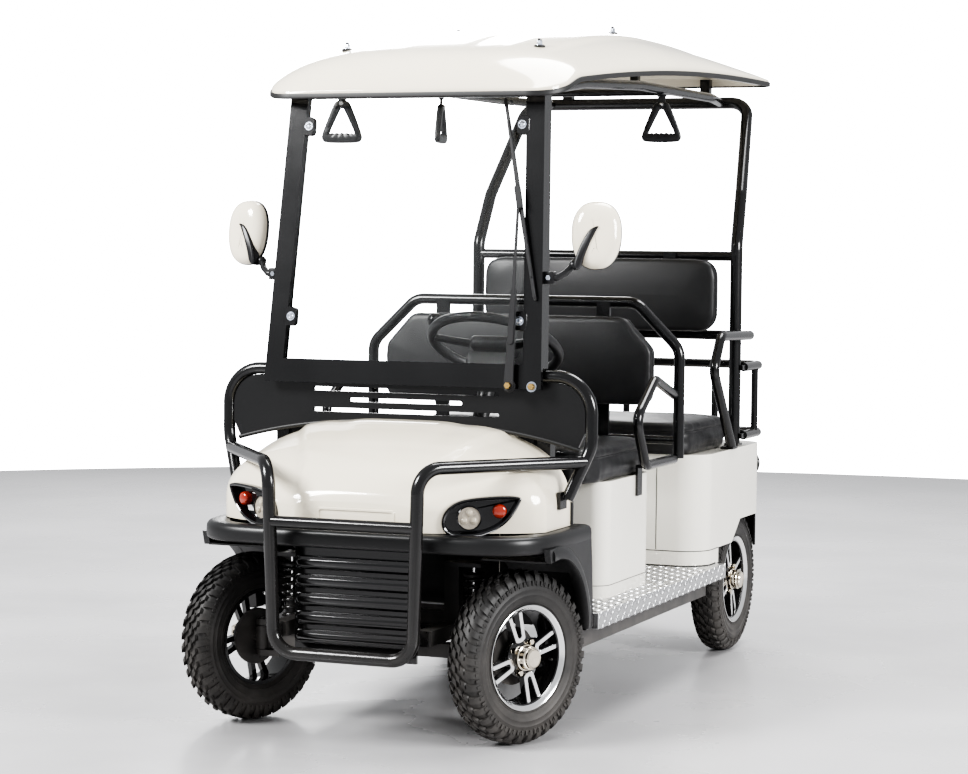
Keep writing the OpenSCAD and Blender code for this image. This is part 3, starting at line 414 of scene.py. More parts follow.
tyre_rubber = finish("tyre_rubber", (0.010, 0.010, 0.0105), 0.55, grain=380, bump=0.35,
                     depth=0.0006,
                     shift=0.2, dust=(0.0, 0.5, 0.34))
rim_black = finish("rim_black", (0.010, 0.010, 0.011), 0.10, coat=0.6, bump=0.02,
                   dust=(0.0, 0.5, 0.05))
rim_bright = finish("rim_bright", (0.80, 0.80, 0.80), 0.17, metal=1.0, grain=900, bump=0.06,
                    shift=0.06)
plated = finish("plated_hub", (0.74, 0.68, 0.58), 0.10, metal=1.0, clouds=30, shift=0.12, bump=0.03)


def tread_radius(across):
    """Radius of the tread's face at a distance from the middle of the tyre."""
    a = abs(across)
    return 0.2196 if a < 0.016 else 0.190 + math.sqrt(max(0, 0.0296 ** 2 - (a - 0.016) ** 2))


def tread_block(corners, depth, cuts=4):
    """One block of the tread: corners as turn in pitches and distance across."""
    (a0, a1, x0), (b0, b1, x1) = corners
    pitch = math.tau / 38
    points, faces = [], []
    for k in range(cuts + 1):
        f = k / cuts
        x, s0, s1 = x0 + (x1 - x0) * f, a0 + (b0 - a0) * f, a1 + (b1 - a1) * f
        for low in (0, 1):
            r = tread_radius(x) - (depth if low else 0)
            out = x - (0.0012 if x > 0 else -0.0012) * (0 if low else 1) * (1 if k == cuts else 0)
            for s in ((s0, s1) if not low else (s0 - 0.02, s1 + 0.02)):
                points.append((r * math.cos(s * pitch), r * math.sin(s * pitch), out))
    for k in range(cuts):
        a, b = 4 * k, 4 * k + 4
        faces += [(a, a + 1, b + 1, b), (a + 2, a, b, b + 2), (a + 1, a + 3, b + 3, b + 1),
                  (a + 3, a + 2, b + 2, b + 3)]
    last = 4 * cuts
    faces += [(0, 2, 3, 1), (last, last + 1, last + 3, last + 2)]
    return points, faces


TREAD = [  # turn at the inner edge, at the outer edge, each as from and to with the distance across
    (((0.02, 0.52, 0.0015), (0.30, 0.80, 0.0135)), 0.0066),
    (((0.42, 0.78, 0.0155), (0.74, 1.10, 0.0270)), 0.0066),
    (((0.80, 1.28, 0.0290), (0.96, 1.44, 0.0452)), 0.0074),
    (((0.52, 1.02, -0.0015), (0.24, 0.74, -0.0135)), 0.0066),
    (((0.12, 0.48, -0.0155), (-0.20, 0.16, -0.0270)), 0.0066),
    (((0.26, 0.74, -0.0290), (0.10, 0.58, -0.0452)), 0.0074),
]
TYRE_SECTION = [(0.1276, 0.0352), (0.1352, 0.0385), (0.1385, 0.0400), (0.1390, 0.0414),
                (0.1402, 0.0415),
                (0.1410, 0.0405), (0.1500, 0.0432), (0.1580, 0.0447), (0.1590, 0.0455),
                (0.1602, 0.0455),
                (0.1612, 0.0448), (0.1720, 0.0448), (0.1730, 0.0455), (0.1742, 0.0454),
                (0.1752, 0.0445),
                (0.1850, 0.0436), (0.1925, 0.0420), (0.2010, 0.0375), (0.2070, 0.0310),
                (0.2115, 0.0200),
                (0.2128, 0.0100)]
RIM_SECTION = [(0.1180, -0.0360), (0.1268, -0.0360), (0.1268, 0.0340), (0.1335, 0.0385),
               (0.1338, 0.0412),
               (0.1322, 0.0420), (0.1300, 0.0408), (0.1255, 0.0375), (0.1215, 0.0330),
               (0.1180, 0.0315),
               (0.1160, 0.0200), (0.1160, -0.0200)]


def tyre(name):
    """A tyre's body and its tread blocks."""
    section = TYRE_SECTION + [(0.2131, 0.0)] + [(r, -z) for r, z in reversed(TYRE_SECTION)]
    body = build(name + "_body", *turned_form(section, 120), tyre_rubber, sharp=50)
    points, faces = [], []
    for corners, depth in TREAD:
        p, f = tread_block(corners, depth)
        faces += [tuple(i + len(points) for i in g) for g in f]
        points += p
    blocks = grown(build(name + "_blocks", points, faces, tyre_rubber, sharp=40), ring_tree,
                   count=38,
                   finish=tyre_rubber)
    # short lugs down the side of the shoulder
    lug = [(0.1810, 0.0430), (0.1945, 0.0400), (0.1945, 0.0458), (0.1905, 0.0462), (0.1830, 0.0459)]
    wide = [0.016, 0.052]
    points = [(r * math.cos(a), r * math.sin(a), z * side) for side in (1, -1) for a in wide for r,
              z in lug]
    faces = []
    for side in (0, 10):
        faces += [tuple(side + i for i in range(5)), tuple(side + 9 - i for i in range(5))]
        faces += [(side + i, side + (i + 1) % 5, side + 5 + (i + 1) % 5, side + 5 + i)
                  for i in range(5)]
    lugs = grown(build(name + "_lugs", points, faces, tyre_rubber), ring_tree, count=76,
                 finish=tyre_rubber)
    return joined(name, body, blocks, lugs)


def spoke_outline():
    """One U-shaped pair of spokes along +X, closed at the hub end, as X and Y."""
    outer = [(0.1195, 0.0270), (0.0560, 0.0195)]
    inner = [(0.1195, 0.0125), (0.0640, 0.0062)]
    hub_end = [(0.050 - 0.0185 * math.sin(math.radians(a)) * 0.55,
                0.0195 * math.cos(math.radians(a)))
               for a in range(20, 161, 20)]
    slot_end = [(0.0605 - 0.0062 * math.sin(math.radians(a)), 0.0062 * math.cos(math.radians(a)))
                for a in range(150, 29, -30)]
    return (outer + hub_end + [(x, -y) for x, y in reversed(outer)]
            + [(x, -y) for x, y in inner] + slot_end + list(reversed(inner)))


def shrunk(outline, by):
    """A closed outline drawn in by a small distance."""
    made, n = [], len(outline)
    area = sum(outline[i][0] * outline[(i + 1) % n][1] - outline[(i + 1) % n][0] * outline[i][1]
               for i in range(n))
    turn_way = 1 if area > 0 else -1
    for i in range(n):
        a, b, c = (Vector(outline[(i + k) % n]) for k in (-1, 0, 1))
        u, v = (b - a).normalized(), (c - b).normalized()
        normal = (Vector((-u.y, u.x)) + Vector((-v.y, v.x))).normalized() * turn_way
        spread = max(0.45, abs(normal.dot(Vector((-u.y, u.x)))))
        made.append(tuple(b + normal * by / spread))
    return made


def plate(outline, levels):
    """A flat piece from one outline: each level is the height and how far it's drawn in."""
    points, faces, n = [], [], len(outline)
    for z, by in levels:
        points += [(x, y, z) for x, y in (shrunk(outline, by) if by else outline)]
    for k in range(len(levels) - 1):
        faces += [(k * n + i, k * n + (i + 1) % n, (k + 1) * n + (i + 1) % n, (k + 1) * n + i)
                  for i in range(n)]
    faces += [tuple(range(n)), tuple(range((len(levels) - 1) * n, len(levels) * n))]
    return points, faces


def hex_nut(radius, height):
    """A hexagon nut or bolt head about Z, with its top edge turned off round."""
    points, faces = [], []
    for z, r in ((0, radius), (height * 0.8, radius), (height, radius * 0.86)):
        points += [(r * math.cos(math.tau * i / 6), r * math.sin(math.tau * i / 6), z)
                   for i in range(6)]
    points.append((0, 0, height))
    for k in (0, 6):
        faces += [(k + i, k + (i + 1) % 6, k + 6 + (i + 1) % 6, k + 6 + i) for i in range(6)]
    faces += [(12 + i, 12 + (i + 1) % 6, 18) for i in range(6)] + [tuple(range(6))]
    return points, faces


def rim(name):
    """A wheel's casting with its bright faces, hub cap and lug nuts."""
    barrel = build(name + "_barrel", *turned_form(RIM_SECTION), rim_black, rim_bright, sharp=28,
                   choose=lambda c, f: 1 if c.z > 0.0338 else 0)
    outline = spoke_outline()
    spokes = build(name + "_spokes", *plate(outline, ((0.010, 0), (0.0255, 0), (0.0262, 0.0007))),
                   rim_black, sharp=30)
    spokes = grown(spokes, ring_tree, count=4, finish=rim_black)
    faces = build(name + "_faces", *plate(outline,
                                          ((0.0255, 0.0016), (0.0272, 0.0016), (0.0280, 0.0024))),
                  rim_bright, sharp=30)
    faces = grown(faces, ring_tree, count=4, finish=rim_bright)
    web = build(name + "_web", *turned_form([(0.012, 0.006), (0.052, 0.006), (0.052, 0.018),
                                             (0.036, 0.024),
                                            (0.012, 0.024)], 48), rim_black)
    cap = build(name + "_cap", *turned_form([
        (0.0001, 0.020), (0.0310, 0.020), (0.0335, 0.0240), (0.0335, 0.0330), (0.0300, 0.0350),
        (0.0290, 0.0440),
        (0.0305, 0.0460), (0.0305, 0.0500), (0.0290, 0.0520), (0.0262, 0.0530), (0.0255, 0.0580),
        (0.0225, 0.0615),
        (0.0205, 0.0600), (0.0120, 0.0594), (0.0001, 0.0592)], 64), plated, sharp=30)
    nut = build(name + "_nut", *hex_nut(0.0082, 0.013), plated)
    nut.data.transform(spun("Z", 45) @ Matrix.Translation((0.0425, 0, 0.022)))
    nuts = grown(nut, ring_tree, count=4, finish=plated)
    stem = build(name + "_stem", *turned_form([(0.0001, 0), (0.0042, 0), (0.0036, 0.010),
                                               (0.0030, 0.026),
                                              (0.0001, 0.027)], 16), tyre_rubber)
    stem.data.transform(spun("Z", 63) @ Matrix.Translation((0.113, 0, 0.010))
                        @ spun("Y", -38))
    whole = joined(name, barrel, spokes, faces, web, cap, nuts, stem)
    whole.data.transform(spun("Z", 18))
    return whole


for side, front, corner in ((1, True, "front_left"), (-1, True, "front_right"),
                            (1, False, "rear_left"),
                            (-1, False, "rear_right")):
    place = wheel_place(side, front)
    settle(placed(tyre("tread_tyre_" + corner), place), "wheel_" + corner, "tyre_rubber",
           "tyre_" + corner)
    settle(placed(rim("alloy_wheel_" + corner), place), "wheel_" + corner, "rim_alloy",
           "rim_" + corner)

# ---- Front cowl ----
# A thin moulded shell, gloss cream over white: a raised middle panel between two creases, soft
# hollows round the lamps, a blank raised frame for a plate, and a black rubber strip along its
# rear edge where it meets the seat boxes.
cream_gloss = finish("cream_gloss", (0.84, 0.775, 0.635), 0.13, coat=0.7, shift=0.03, spread=0.03,
                     clouds=2.5,
                     grain=55, bump=0.035, depth=0.0015)
white_gloss = finish("white_gloss", (0.84, 0.815, 0.74), 0.17, coat=0.55, shift=0.03, spread=0.04,
                     clouds=2.5,
                     grain=70, bump=0.04, depth=0.0015, dust=(0.25, 0.65, 0.10))
rubber_trim = finish("rubber_trim", (0.018, 0.018, 0.018), 0.48, grain=500, bump=0.2)
COWL_ROWS = [(-0.168, 0.378, 0.270), (-0.158, 0.460, 0.380), (-0.140, 0.547, 0.450),
             (-0.104, 0.700, 0.585),
             (-0.060, 0.885, 0.700), (-0.030, 0.965, 0.762), (0.000, 1.0, 0.824),
             (0.050, 1.0, 0.910),
             (0.112, 1.0, 0.985), (0.176, 1.0, 1.0)]
cowl_half, cowl_low, cowl_rise, cowl_lip = 0.450, 0.536, 0.250, 0.050


def along(rows, y, column):
    """A value of a table at y, on a smooth line that never overshoots."""
    for k in range(len(rows) - 1):
        if y <= rows[k + 1][0] or k == len(rows) - 2:
            a, b = rows[k], rows[k + 1]
            gap = b[0] - a[0]
            slope = (b[column] - a[column]) / gap
            before = (a[column] - rows[k - 1][column]) / (a[0] - rows[k - 1][0]) if k else slope
            after = (rows[k + 2][column] - b[column]) / (rows[k + 2][0]
                                                         - b[0]) if k < len(rows) - 2 else 0.0
            m0 = 0 if before * slope <= 0 else 2 * before * slope / (before + slope)
            m1 = 0 if after * slope <= 0 else 2 * after * slope / (after + slope)
            t = min(1, max(0, (y - a[0]) / gap))
            return (a[column] * (2 * t ** 3 - 3 * t ** 2 + 1) + m0 * gap * (t ** 3 - 2 * t ** 2 + t)
                    + b[column] * (3 * t ** 2 - 2 * t ** 3) + m1 * gap * (t ** 3 - t ** 2))


def ease(t):
    t = min(1, max(0, t))
    return t * t * (3 - 2 * t)


def cowl_point(u, y):
    """A point on the cowl's upper face: u from -1 to 1 across, y back from the front axle."""
    half = along(COWL_ROWS, y, 1) * cowl_half
    rise = along(COWL_ROWS, y, 2) * cowl_rise
    z = cowl_low + cowl_lip + (rise - cowl_lip) * (1 - abs(u) ** 3.2) ** 0.4545
    x = u * half
    back = ease((y + 0.168) / 0.34)
    # raised middle panel, whose sides are creases that run forward and in
    edge = 0.165 + 0.115 * back
    raised = 1 - ease((abs(x) - edge) / (0.011 + 0.016 * back))
    z += 0.0115 * raised * ease((y + 0.16) / 0.05)
    # shallow fluting each side of the middle
    z -= 0.004 * math.exp(-((abs(x) - edge * 0.62) / 0.035) ** 2) * back
    # soft hollow over the lamps
    lamp_away = math.hypot((abs(x) - 0.318) / 0.125, (y + 0.085) / 0.070)
    z -= 0.010 * (1 - ease(lamp_away)) * ease(1.4 - abs(u))
    return x, y - axle_y, z


def shell_grid(across, back, point, low):
    """A closed form under a grid of points, with upright sides down to a flat bottom at low."""
    nx, ny = len(across), len(back)
    points = [point(u, y) for y in back for u in across]
    faces = [(j * nx + i, j * nx + i + 1, (j + 1) * nx + i + 1, (j + 1) * nx + i)
             for j in range(ny - 1) for i in range(nx - 1)]
    ring = ([i for i in range(nx)] + [j * nx + nx - 1 for j in range(1, ny)]
            + [(ny - 1) * nx + i for i in range(nx - 2, -1, -1)]
            + [j * nx for j in range(ny - 2, 0, -1)])
    for level in low:
        base = len(points)
        points += [(points[i][0], points[i][1], level) for i in ring]
        faces += [(ring[k], ring[(k + 1) % len(ring)], base + (k + 1) % len(ring), base + k)
                  for k in range(len(ring))]
        ring = [base + k for k in range(len(ring))]
    faces.append(tuple(ring))
    return points, faces


across = [math.sin(math.pi / 2 * (i / 56 - 1)) for i in range(113)]
back = [-0.168 + 0.344 * (i / 72) ** 1.25 for i in range(73)]
cowl = build("cowl_shell", *shell_grid(across, back, cowl_point, (0.566, 0.548, 0.536)),
             cream_gloss, sharp=38)


def tube(name, path, radius, material, sides=16, bend=0.0, flat=1.0):
    """A round bar or hose along a path, with its corners bent to a radius, closed at both ends."""
    path = [Vector(p) for p in path]
    line = [path[0]]
    for k in range(1, len(path) - 1):
        a, b, c = path[k - 1], path[k], path[k + 1]
        u, v = (a - b).normalized(), (c - b).normalized()
        half = (math.pi - u.angle(v)) / 2
        cut = min(bend * math.tan(half), 0.48 * (a - b).length,
                  0.48 * (c - b).length) if bend else 0
        if cut < 1e-5:
            line.append(b)
            continue
        for i in range(9):
            t = i / 8
            line.append((b + u * cut) * (1 - t) ** 2 + b * 2 * t * (1 - t) + (b + v * cut) * t ** 2)
    line.append(path[-1])
    points, faces = [], []
    tangent = (line[1] - line[0]).normalized()
    side = tangent.orthogonal().normalized()
    for k, p in enumerate(line):
        ahead_way = (line[min(k + 1, len(line) - 1)] - line[max(k - 1, 0)]).normalized()
        side = (side - ahead_way * side.dot(ahead_way)).normalized()
        up = ahead_way.cross(side)
        for i in range(sides):
            a = math.tau * i / sides
            points.append(p + side * (radius * math.cos(a)) + up * (radius * flat * math.sin(a)))
    for k in range(len(line) - 1):
        faces += [(k * sides + i, k * sides + (i + 1) % sides, (k + 1) * sides + (i + 1) % sides,
                   (k + 1) * sides + i) for i in range(sides)]
    faces += [tuple(range(sides)), tuple(range((len(line) - 1) * sides, len(line) * sides))]
    return build(name, points, faces, material, sharp=50)


def block(name, low, high, material, edge=0.0012):
    """A plain block with rounded edges."""
    (x0, y0, z0), (x1, y1, z1) = low, high
    points = [(x, y, z) for z in (z0, z1) for y in (y0, y1) for x in (x0, x1)]
    o = build(name, points, [(0, 1, 3, 2), (4, 6, 7, 5), (0, 4, 5, 1), (1, 5, 7, 3), (3, 7, 6, 2),
                             (2, 6, 4, 0)],
              material)
    form = bmesh.new()
    form.from_mesh(o.data)
    bmesh.ops.bevel(form, geom=form.edges, offset=edge, segments=2, affect="EDGES", profile=0.6)
    form.to_mesh(o.data)
    form.free()
    o.data.shade_smooth()
    o.data.set_sharp_from_angle(angle=math.radians(50))
    return o


def framed(name, half_w, half_h, width, high, material, corner=0.006):
    """A raised rectangular frame in X and Z that faces forward, at the origin."""
    def loop(w, h, c):
        return [(sx * (w - c) + c * math.cos(math.radians(a)), sz * (h - c) + c
                 * math.sin(math.radians(a)))
                for sx, sz, start in ((1, 1, 0), (-1, 1, 90), (-1, -1, 180), (1, -1, 270))
                for a in range(start, start + 91, 30)]
    levels = [(half_w, half_h, 0.0), (half_w - width * 0.2, half_h - width * 0.2, high),
              (half_w - width * 0.8, half_h - width * 0.8, high),
              (half_w - width, half_h - width, 0.0)]
    points = []
    for w, h, out in levels:
        points += [(x, -out, z) for x, z in loop(w, h, corner)]
    n = len(points) // 4
    return build(name, points, bands(4, n, around=True), material, sharp=60)


plate_frame = framed("cowl_plate_frame", 0.107, 0.0225, 0.007, 0.0035, cream_gloss)
placed(plate_frame, Matrix.Translation((0, -1.0798, 0.5675)))
settle(plate_frame, "chassis", "cream_shell")

strips = []
for side in (1, -1):
    edge_line = [(side * 0.4515, -0.7335, 0.538), (side * 0.4515, -0.7335, 0.652)]
    strips.append(tube(f"strip_{side}", edge_line, 0.0052, rubber_trim, bend=0.01))
settle(joined("cowl_edge_strips", *strips), "chassis", "dark_plastic")

# ---- Headlamps ----
# A leaf-shaped gloss black housing under each shoulder of the cowl, with a thick rim and a
# bright lower lip. Inside are a round lamp with three diodes and an amber-red indicator.
lamp_black = finish("lamp_black", (0.008, 0.008, 0.009), 0.07, coat=0.8, bump=0.0)
lamp_disc = finish("lamp_disc", (0.40, 0.36, 0.30), 0.28, metal=0.25, clouds=60, shift=0.15)
diode_glass = finish("diode_glass", (0.50, 0.45, 0.36), 0.06, coat=1.0, clouds=90, shift=0.25)
indicator_red = finish("indicator_red", (0.33, 0.028, 0.010), 0.08, coat=1.0, clouds=50, shift=0.35)
chrome = finish("chrome", (0.80, 0.80, 0.80), 0.06, metal=1.0, bump=0.0, shift=0.05)
LEAF = [(-0.098, -0.036), (-0.103, -0.014), (-0.097, 0.008), (-0.083, 0.026), (-0.058, 0.041),
        (-0.020, 0.048),
        (0.030, 0.052), (0.078, 0.053), (0.099, 0.049), (0.100, 0.040), (0.090, 0.020),
        (0.070, -0.010),
        (0.040, -0.034), (0.000, -0.049), (-0.045, -0.054), (-0.080, -0.049)]


def rounded_outline(corners, times=2):
    """Cuts the corners of a closed outline so that it runs smoothly."""
    for _ in range(times):
        corners = [q for i, p in enumerate(corners) for n in [corners[(i + 1) % len(corners)]]
                   for q in ((p[0] * 0.75 + n[0] * 0.25, p[1] * 0.75 + n[1] * 0.25),
                             (p[0] * 0.25 + n[0] * 0.75, p[1] * 0.25 + n[1] * 0.75))]
    return corners


def lamp_place(side):
    """Where a headlamp's housing stands, facing forward and outward."""
    return (Matrix.Diagonal((side, 1, 1, 1)) @ Matrix.Translation((0.316, -1.0165, 0.579))
            @ spun("Z", 27) @ spun("X", 90))


leaf = rounded_outline(LEAF)
# each housing sits in an opening of its own shape in the cowl
cutters = []
for side in (1, -1):
    stand = lamp_place(side)
    cutter = placed(build("cutter", *plate(leaf, ((-0.034, 0.0025), (0.06, 0.0025)))), stand)
    opening = cowl.modifiers.new("lamp_opening", "BOOLEAN")
    opening.operation = "DIFFERENCE"
    opening.solver = "EXACT"
    opening.object = cutter
    cutters.append(cutter)
bpy.context.view_layer.update()
cut_cowl = cowl.evaluated_get(bpy.context.evaluated_depsgraph_get())
cut_mesh = bpy.data.meshes.new_from_object(cut_cowl)
cowl.modifiers.clear()
cowl.data = cut_mesh
cowl.data.shade_smooth()
cowl.data.set_sharp_from_angle(angle=math.radians(38))
for cutter in cutters:
    bpy.data.objects.remove(cutter)
settle(cowl, "chassis", "cream_shell", "front_cowl")
for side, name in ((1, "left"), (-1, "right")):
    stand = lamp_place(side)
    housing = build("housing", *plate(leaf, ((-0.030, 0.002), (0.004, 0), (0.0095, 0.0015),
                                             (0.0115, 0.0050),
                                             (0.0095, 0.0085), (-0.012, 0.0125))), lamp_black,
                                             sharp=24)
    lamp = build("lamp", *turned_form([(0.0001, -0.012), (0.031, -0.012), (0.031, 0.0030),
                                       (0.0295, 0.0042),
                                       (0.0280, 0.0030), (0.0278, 0.0005), (0.0001, 0.0005)], 48),
                 lamp_disc, lamp_black, sharp=25,
                 choose=lambda c, f: 1 if math.hypot(c.x, c.y) > 0.0275 else 0)
    diode = build("diode", *turned_form([(0.0001, 0.0), (0.0088, 0.0), (0.0088, 0.0022),
                                         (0.0078, 0.0030),
                                         (0.0070, 0.0026), (0.0060, 0.0044), (0.0035, 0.0058),
                                         (0.0001, 0.0062)], 24),
                  diode_glass, sharp=28)
    diode.data.transform(spun("Z", -30) @ Matrix.Translation((0.0135, 0, 0)))
    diodes = grown(diode, ring_tree, count=3, finish=diode_glass)
    for o in (lamp, diodes):
        o.data.transform(Matrix.Translation((-0.031, -0.004, 0)))
    amber = build("amber", *turned_form([(0.0001, -0.012), (0.0180, -0.012), (0.0180, 0.000),
                                         (0.0165, 0.0045),
                                         (0.0130, 0.0070), (0.0070, 0.0086), (0.0001, 0.0090)], 40),
                  indicator_red, sharp=40)
    amber.data.transform(Matrix.Translation((0.045, 0.013, 0)))
    lip = tube("lip", [(x * 0.972, y * 0.955, 0.0108) for x, y in
                       [(-0.096, -0.034), (-0.078, -0.047), (-0.045, -0.0525), (0.0, -0.048),
                        (0.036, -0.034)]],
               0.0016, chrome, sides=10, bend=0.03)
    settle(placed(joined("headlamp_" + name, housing, lamp, diodes, amber, lip), stand), "chassis",
           "lamp_housing")
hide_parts("headlamps")

# ---- Seats ----
# Foam cushions and backs in black grained vinyl. Each is crowned, its sides swell between the
# corners and pull in at them, the cover wrinkles where it is drawn round a corner, and a
# piped seam runs round the edge.
vinyl = bpy.data.materials.new("seat_vinyl")
vinyl.use_nodes = True
tree = vinyl.node_tree
shader = tree.nodes["Principled BSDF"]
shader.inputs["Coat Weight"].default_value = 0.06
shader.inputs["Coat Roughness"].default_value = 0.25
look = node(tree, "ShaderNodeGroup", {"Cloud Scale": 9, "Grain Scale": 900}, node_tree=cloud_group)
cells = node(tree, "ShaderNodeTexVoronoi", {"Scale": 520}, feature="DISTANCE_TO_EDGE")
place_in = node(tree, "ShaderNodeTexCoord")
pebble = node(tree, "ShaderNodeMapRange", {"From Max": 0.22})
tint = node(tree, "ShaderNodeMix", {"A": (0.0065, 0.0065, 0.007, 1),
                                    "B": (0.012, 0.012, 0.013, 1)}, data_type="RGBA")
sheen = node(tree, "ShaderNodeMapRange", {"To Min": 0.34, "To Max": 0.52})
relief = node(tree, "ShaderNodeBump", {"Strength": 0.22, "Distance": 0.0003})
wire(tree, (place_in, "Object", cells, "Vector"), (cells, "Distance", pebble, "Value"),
     (pebble, "Result", relief, "Height"), (look, "Cloud", tint, "Factor"),
     (look, "Cloud", sheen, "Value"), (tint, "Result", shader, "Base Color"),
     (sheen, "Result", shader, "Roughness"), (relief, "Normal", shader, "Normal"))


def even_outline(corners, radius, count):
    """A closed outline with its corners rounded to a radius, in points an even way apart."""
    line, n = [], len(corners)
    for i in range(n):
        a, b, c = (Vector(corners[(i + k) % n]) for k in (-1, 0, 1))
        u, v = (a - b).normalized(), (c - b).normalized()
        half = (math.pi - u.angle(v)) / 2
        cut = radius * math.tan(half)
        for k in range(13):
            t = k / 12
            line.append((b + u * cut) * (1 - t) ** 2 + b * 2 * t * (1 - t) + (b + v * cut) * t ** 2)
    lengths = [(line[(i + 1) % len(line)] - line[i]).length for i in range(len(line))]
    total, made, k, gone = sum(lengths), [], 0, 0.0
    for i in range(count):
        want = total * i / count
        while gone + lengths[k] < want:
            gone += lengths[k]
            k += 1
        f = (want - gone) / max(lengths[k], 1e-9)
        made.append(line[k].lerp(line[(k + 1) % len(line)], f))
    return made


def stuffed(name, corners, radius, thick, crown, swell, place, bone=None, seam=0.72, wrinkle=0.004,
            seed=0, count=260):
    """A stuffed pad from a plan outline: it stands from 0 to thick, then rises to its crown. The
    seam lies at that share of the thickness."""
    outline = even_outline(corners, radius, count)
    half_w, half_h = max(abs(p.x) for p in outline), max(abs(p.y) for p in outline)
    reach = half_w - half_h if bone is None else bone
    n = count
    centres = [Vector((max(-reach, min(reach, p.x)), 0)) for p in outline]
    corner_pull = []
    for i in range(n):
        a, b, c = outline[i - 6], outline[i], outline[(i + 6) % n]
        corner_pull.append(min(1, (b - a).angle(c - b, 0) / 0.55))
    corner_pull = [sum(corner_pull[(i + k) % n] for k in range(-9, 10)) / 19 for i in range(n)]
    # each level: share drawn in, height, how much it swells, how much it wrinkles
    drawn = [(1, 0.004, 0, 0), (0.55, 0.002, 0, 0), (0.12, 0.0, 0, 0), (0.045, 0.0, 0, 0.2),
             (0.012, 0.004, 0.1, 0.6),
             (0.0, 0.014, 0.35, 1)]
    side = [(0.0, 0.014 + (thick * seam - 0.028) * k / 8 + 0.005, math.sin(math.pi * k / 8) * 0.8
             + 0.3, 1)
            for k in range(9)]
    upper = [(0.006, thick * seam - 0.003, 0.1, 0.4), (0.010, thick * seam, 0.0, 0.2),
             (0.006, thick * seam + 0.003, 0.1, 0.4),
             (0.002, thick * (seam + 0.3 * (1 - seam)), 0.45, 0.9),
             (0.006, thick * (seam + 0.62 * (1 - seam)), 0.5, 0.9),
             (0.022, thick * (seam + 0.85 * (1 - seam)), 0.35, 0.7),
             (0.05, thick * (seam + 0.97 * (1 - seam)), 0.15, 0.5)]
    face = [(t, thick + crown * (1 - (1 - t) ** 2.2) * 0.999, 0, 0.25 * (1 - t)) for t in
            (0.09, 0.14, 0.20, 0.28, 0.38, 0.5, 0.64, 0.8, 1.0)]
    points, faces = [], []
    for level, (t, z, bulge, crease) in enumerate(drawn + side + upper + face):
        for i, p in enumerate(outline):
            way = (p - centres[i]).normalized() if (p
                                                    - centres[i]).length > 1e-6 else Vector((0, 0))
            q = p.lerp(centres[i], t)
            q = q + way * (bulge * swell * (1 - 0.75 * corner_pull[i]))
            fold = noise.noise(Vector((p.x * 15, p.y * 15, z * 42 + seed))) * 0.8 + noise.noise(
                Vector((p.x * 44, p.y * 44, z * 16 + seed + 7)))
            q = q + way * (fold * crease * wrinkle * (0.25 + 1.25 * corner_pull[i]))
            lift = fold * wrinkle * 0.35 * crease * (0.3
                                                     + corner_pull[i]) if z > thick * 0.85 else 0
            broad = 0.0016 * noise.noise(Vector((p.x * 7 * (1 - t), p.y * 7,
                                                 seed + 3))) * (z > thick)
            points.append((q.x, q.y, max(0, z + lift + broad)))
    levels = len(points) // n
    for k in range(levels - 1):
        faces += [(k * n + i, k * n + (i + 1) % n, (k + 1) * n + (i + 1) % n, (k + 1) * n + i)
                  for i in range(n)]
    pad = build(name, points, faces, vinyl, sharp=70, merge=0.0004)
    welt_line = []
    for i, p in enumerate(outline):
        way = (p - centres[i]).normalized()
        welt_line.append((*(p - way * 0.0045 + way * swell * 0.1 * (1 - 0.75 * corner_pull[i])),
                          thick * seam))
    points, faces = [], []
    for i, p in enumerate(welt_line):
        a, c = Vector(welt_line[i - 1]), Vector(welt_line[(i + 1) % n])
        along_way = (c - a).normalized()
        out = along_way.cross(Vector((0, 0, 1)))
        for k in range(8):
            angle = math.tau * k / 8
            points.append(Vector(p) + out * (0.0036 * math.cos(angle))
                          + Vector((0, 0, 0.0036 * math.sin(angle))))
    for i in range(n):
        faces += [(i * 8 + k, i * 8 + (k + 1) % 8, (i + 1) % n * 8 + (k + 1) % 8, (i + 1) % n * 8
                   + k) for k in range(8)]
    piping = build(name + "_piping", points, faces, vinyl, sharp=80)
    for o in (pad, piping):
        placed(o, place)
    return pad, piping


def seat_pad(name, node, corners, radius, thick, crown, swell, place, **more):
    """A pad and its piped seam, in place of the made solid."""
    pad, piping = stuffed(name, corners, radius, thick, crown, swell, place, **more)
    settle(pad, "chassis", "seat_vinyl", node)
    settle(piping, "chassis", "seat_vinyl")


def box_plan(half_w, half_h):
    return [(half_w, -half_h), (half_w, half_h), (-half_w, half_h), (-half_w, -half_h)]


seat_pad("front_cushion", "front_seat_cushion", box_plan(0.421, 0.245), 0.075, 0.094, 0.013, 0.007,
         Matrix.Translation((0, -0.260, 0.6185)), wrinkle=0.0048, seed=2)
seat_pad("rear_cushion", "rear_seat_cushion", box_plan(0.421, 0.214), 0.078, 0.094, 0.013, 0.007,
         Matrix.Translation((0, 0.567, 0.6345)), wrinkle=0.0048, seed=11)
front_back_plan = [(0.410, -0.124), (0.410, 0.034), (0.327, 0.124), (-0.327, 0.124),
                   (-0.410, 0.034), (-0.410, -0.124)]
seat_pad("front_backrest", "front_seat_back", front_back_plan, 0.038, 0.048, 0.010, 0.003,
         Matrix.Translation((0, 0.0738, 0.926)) @ spun("X", 90), bone=0.286, seam=0.62,
         wrinkle=0.0018, seed=21)
seat_pad("rear_backrest", "rear_seat_back", box_plan(0.382, 0.111), 0.062, 0.050, 0.011, 0.003,
         Matrix.Translation((0, 0.7878, 1.102)) @ spun("X", 90), seam=0.62,
         wrinkle=0.0018, seed=31)

# ---- Roof ----
# One moulded cream canopy with shallow raised ribs, held on its rails by four studs, with a
# black rubber edge pushed on all round.


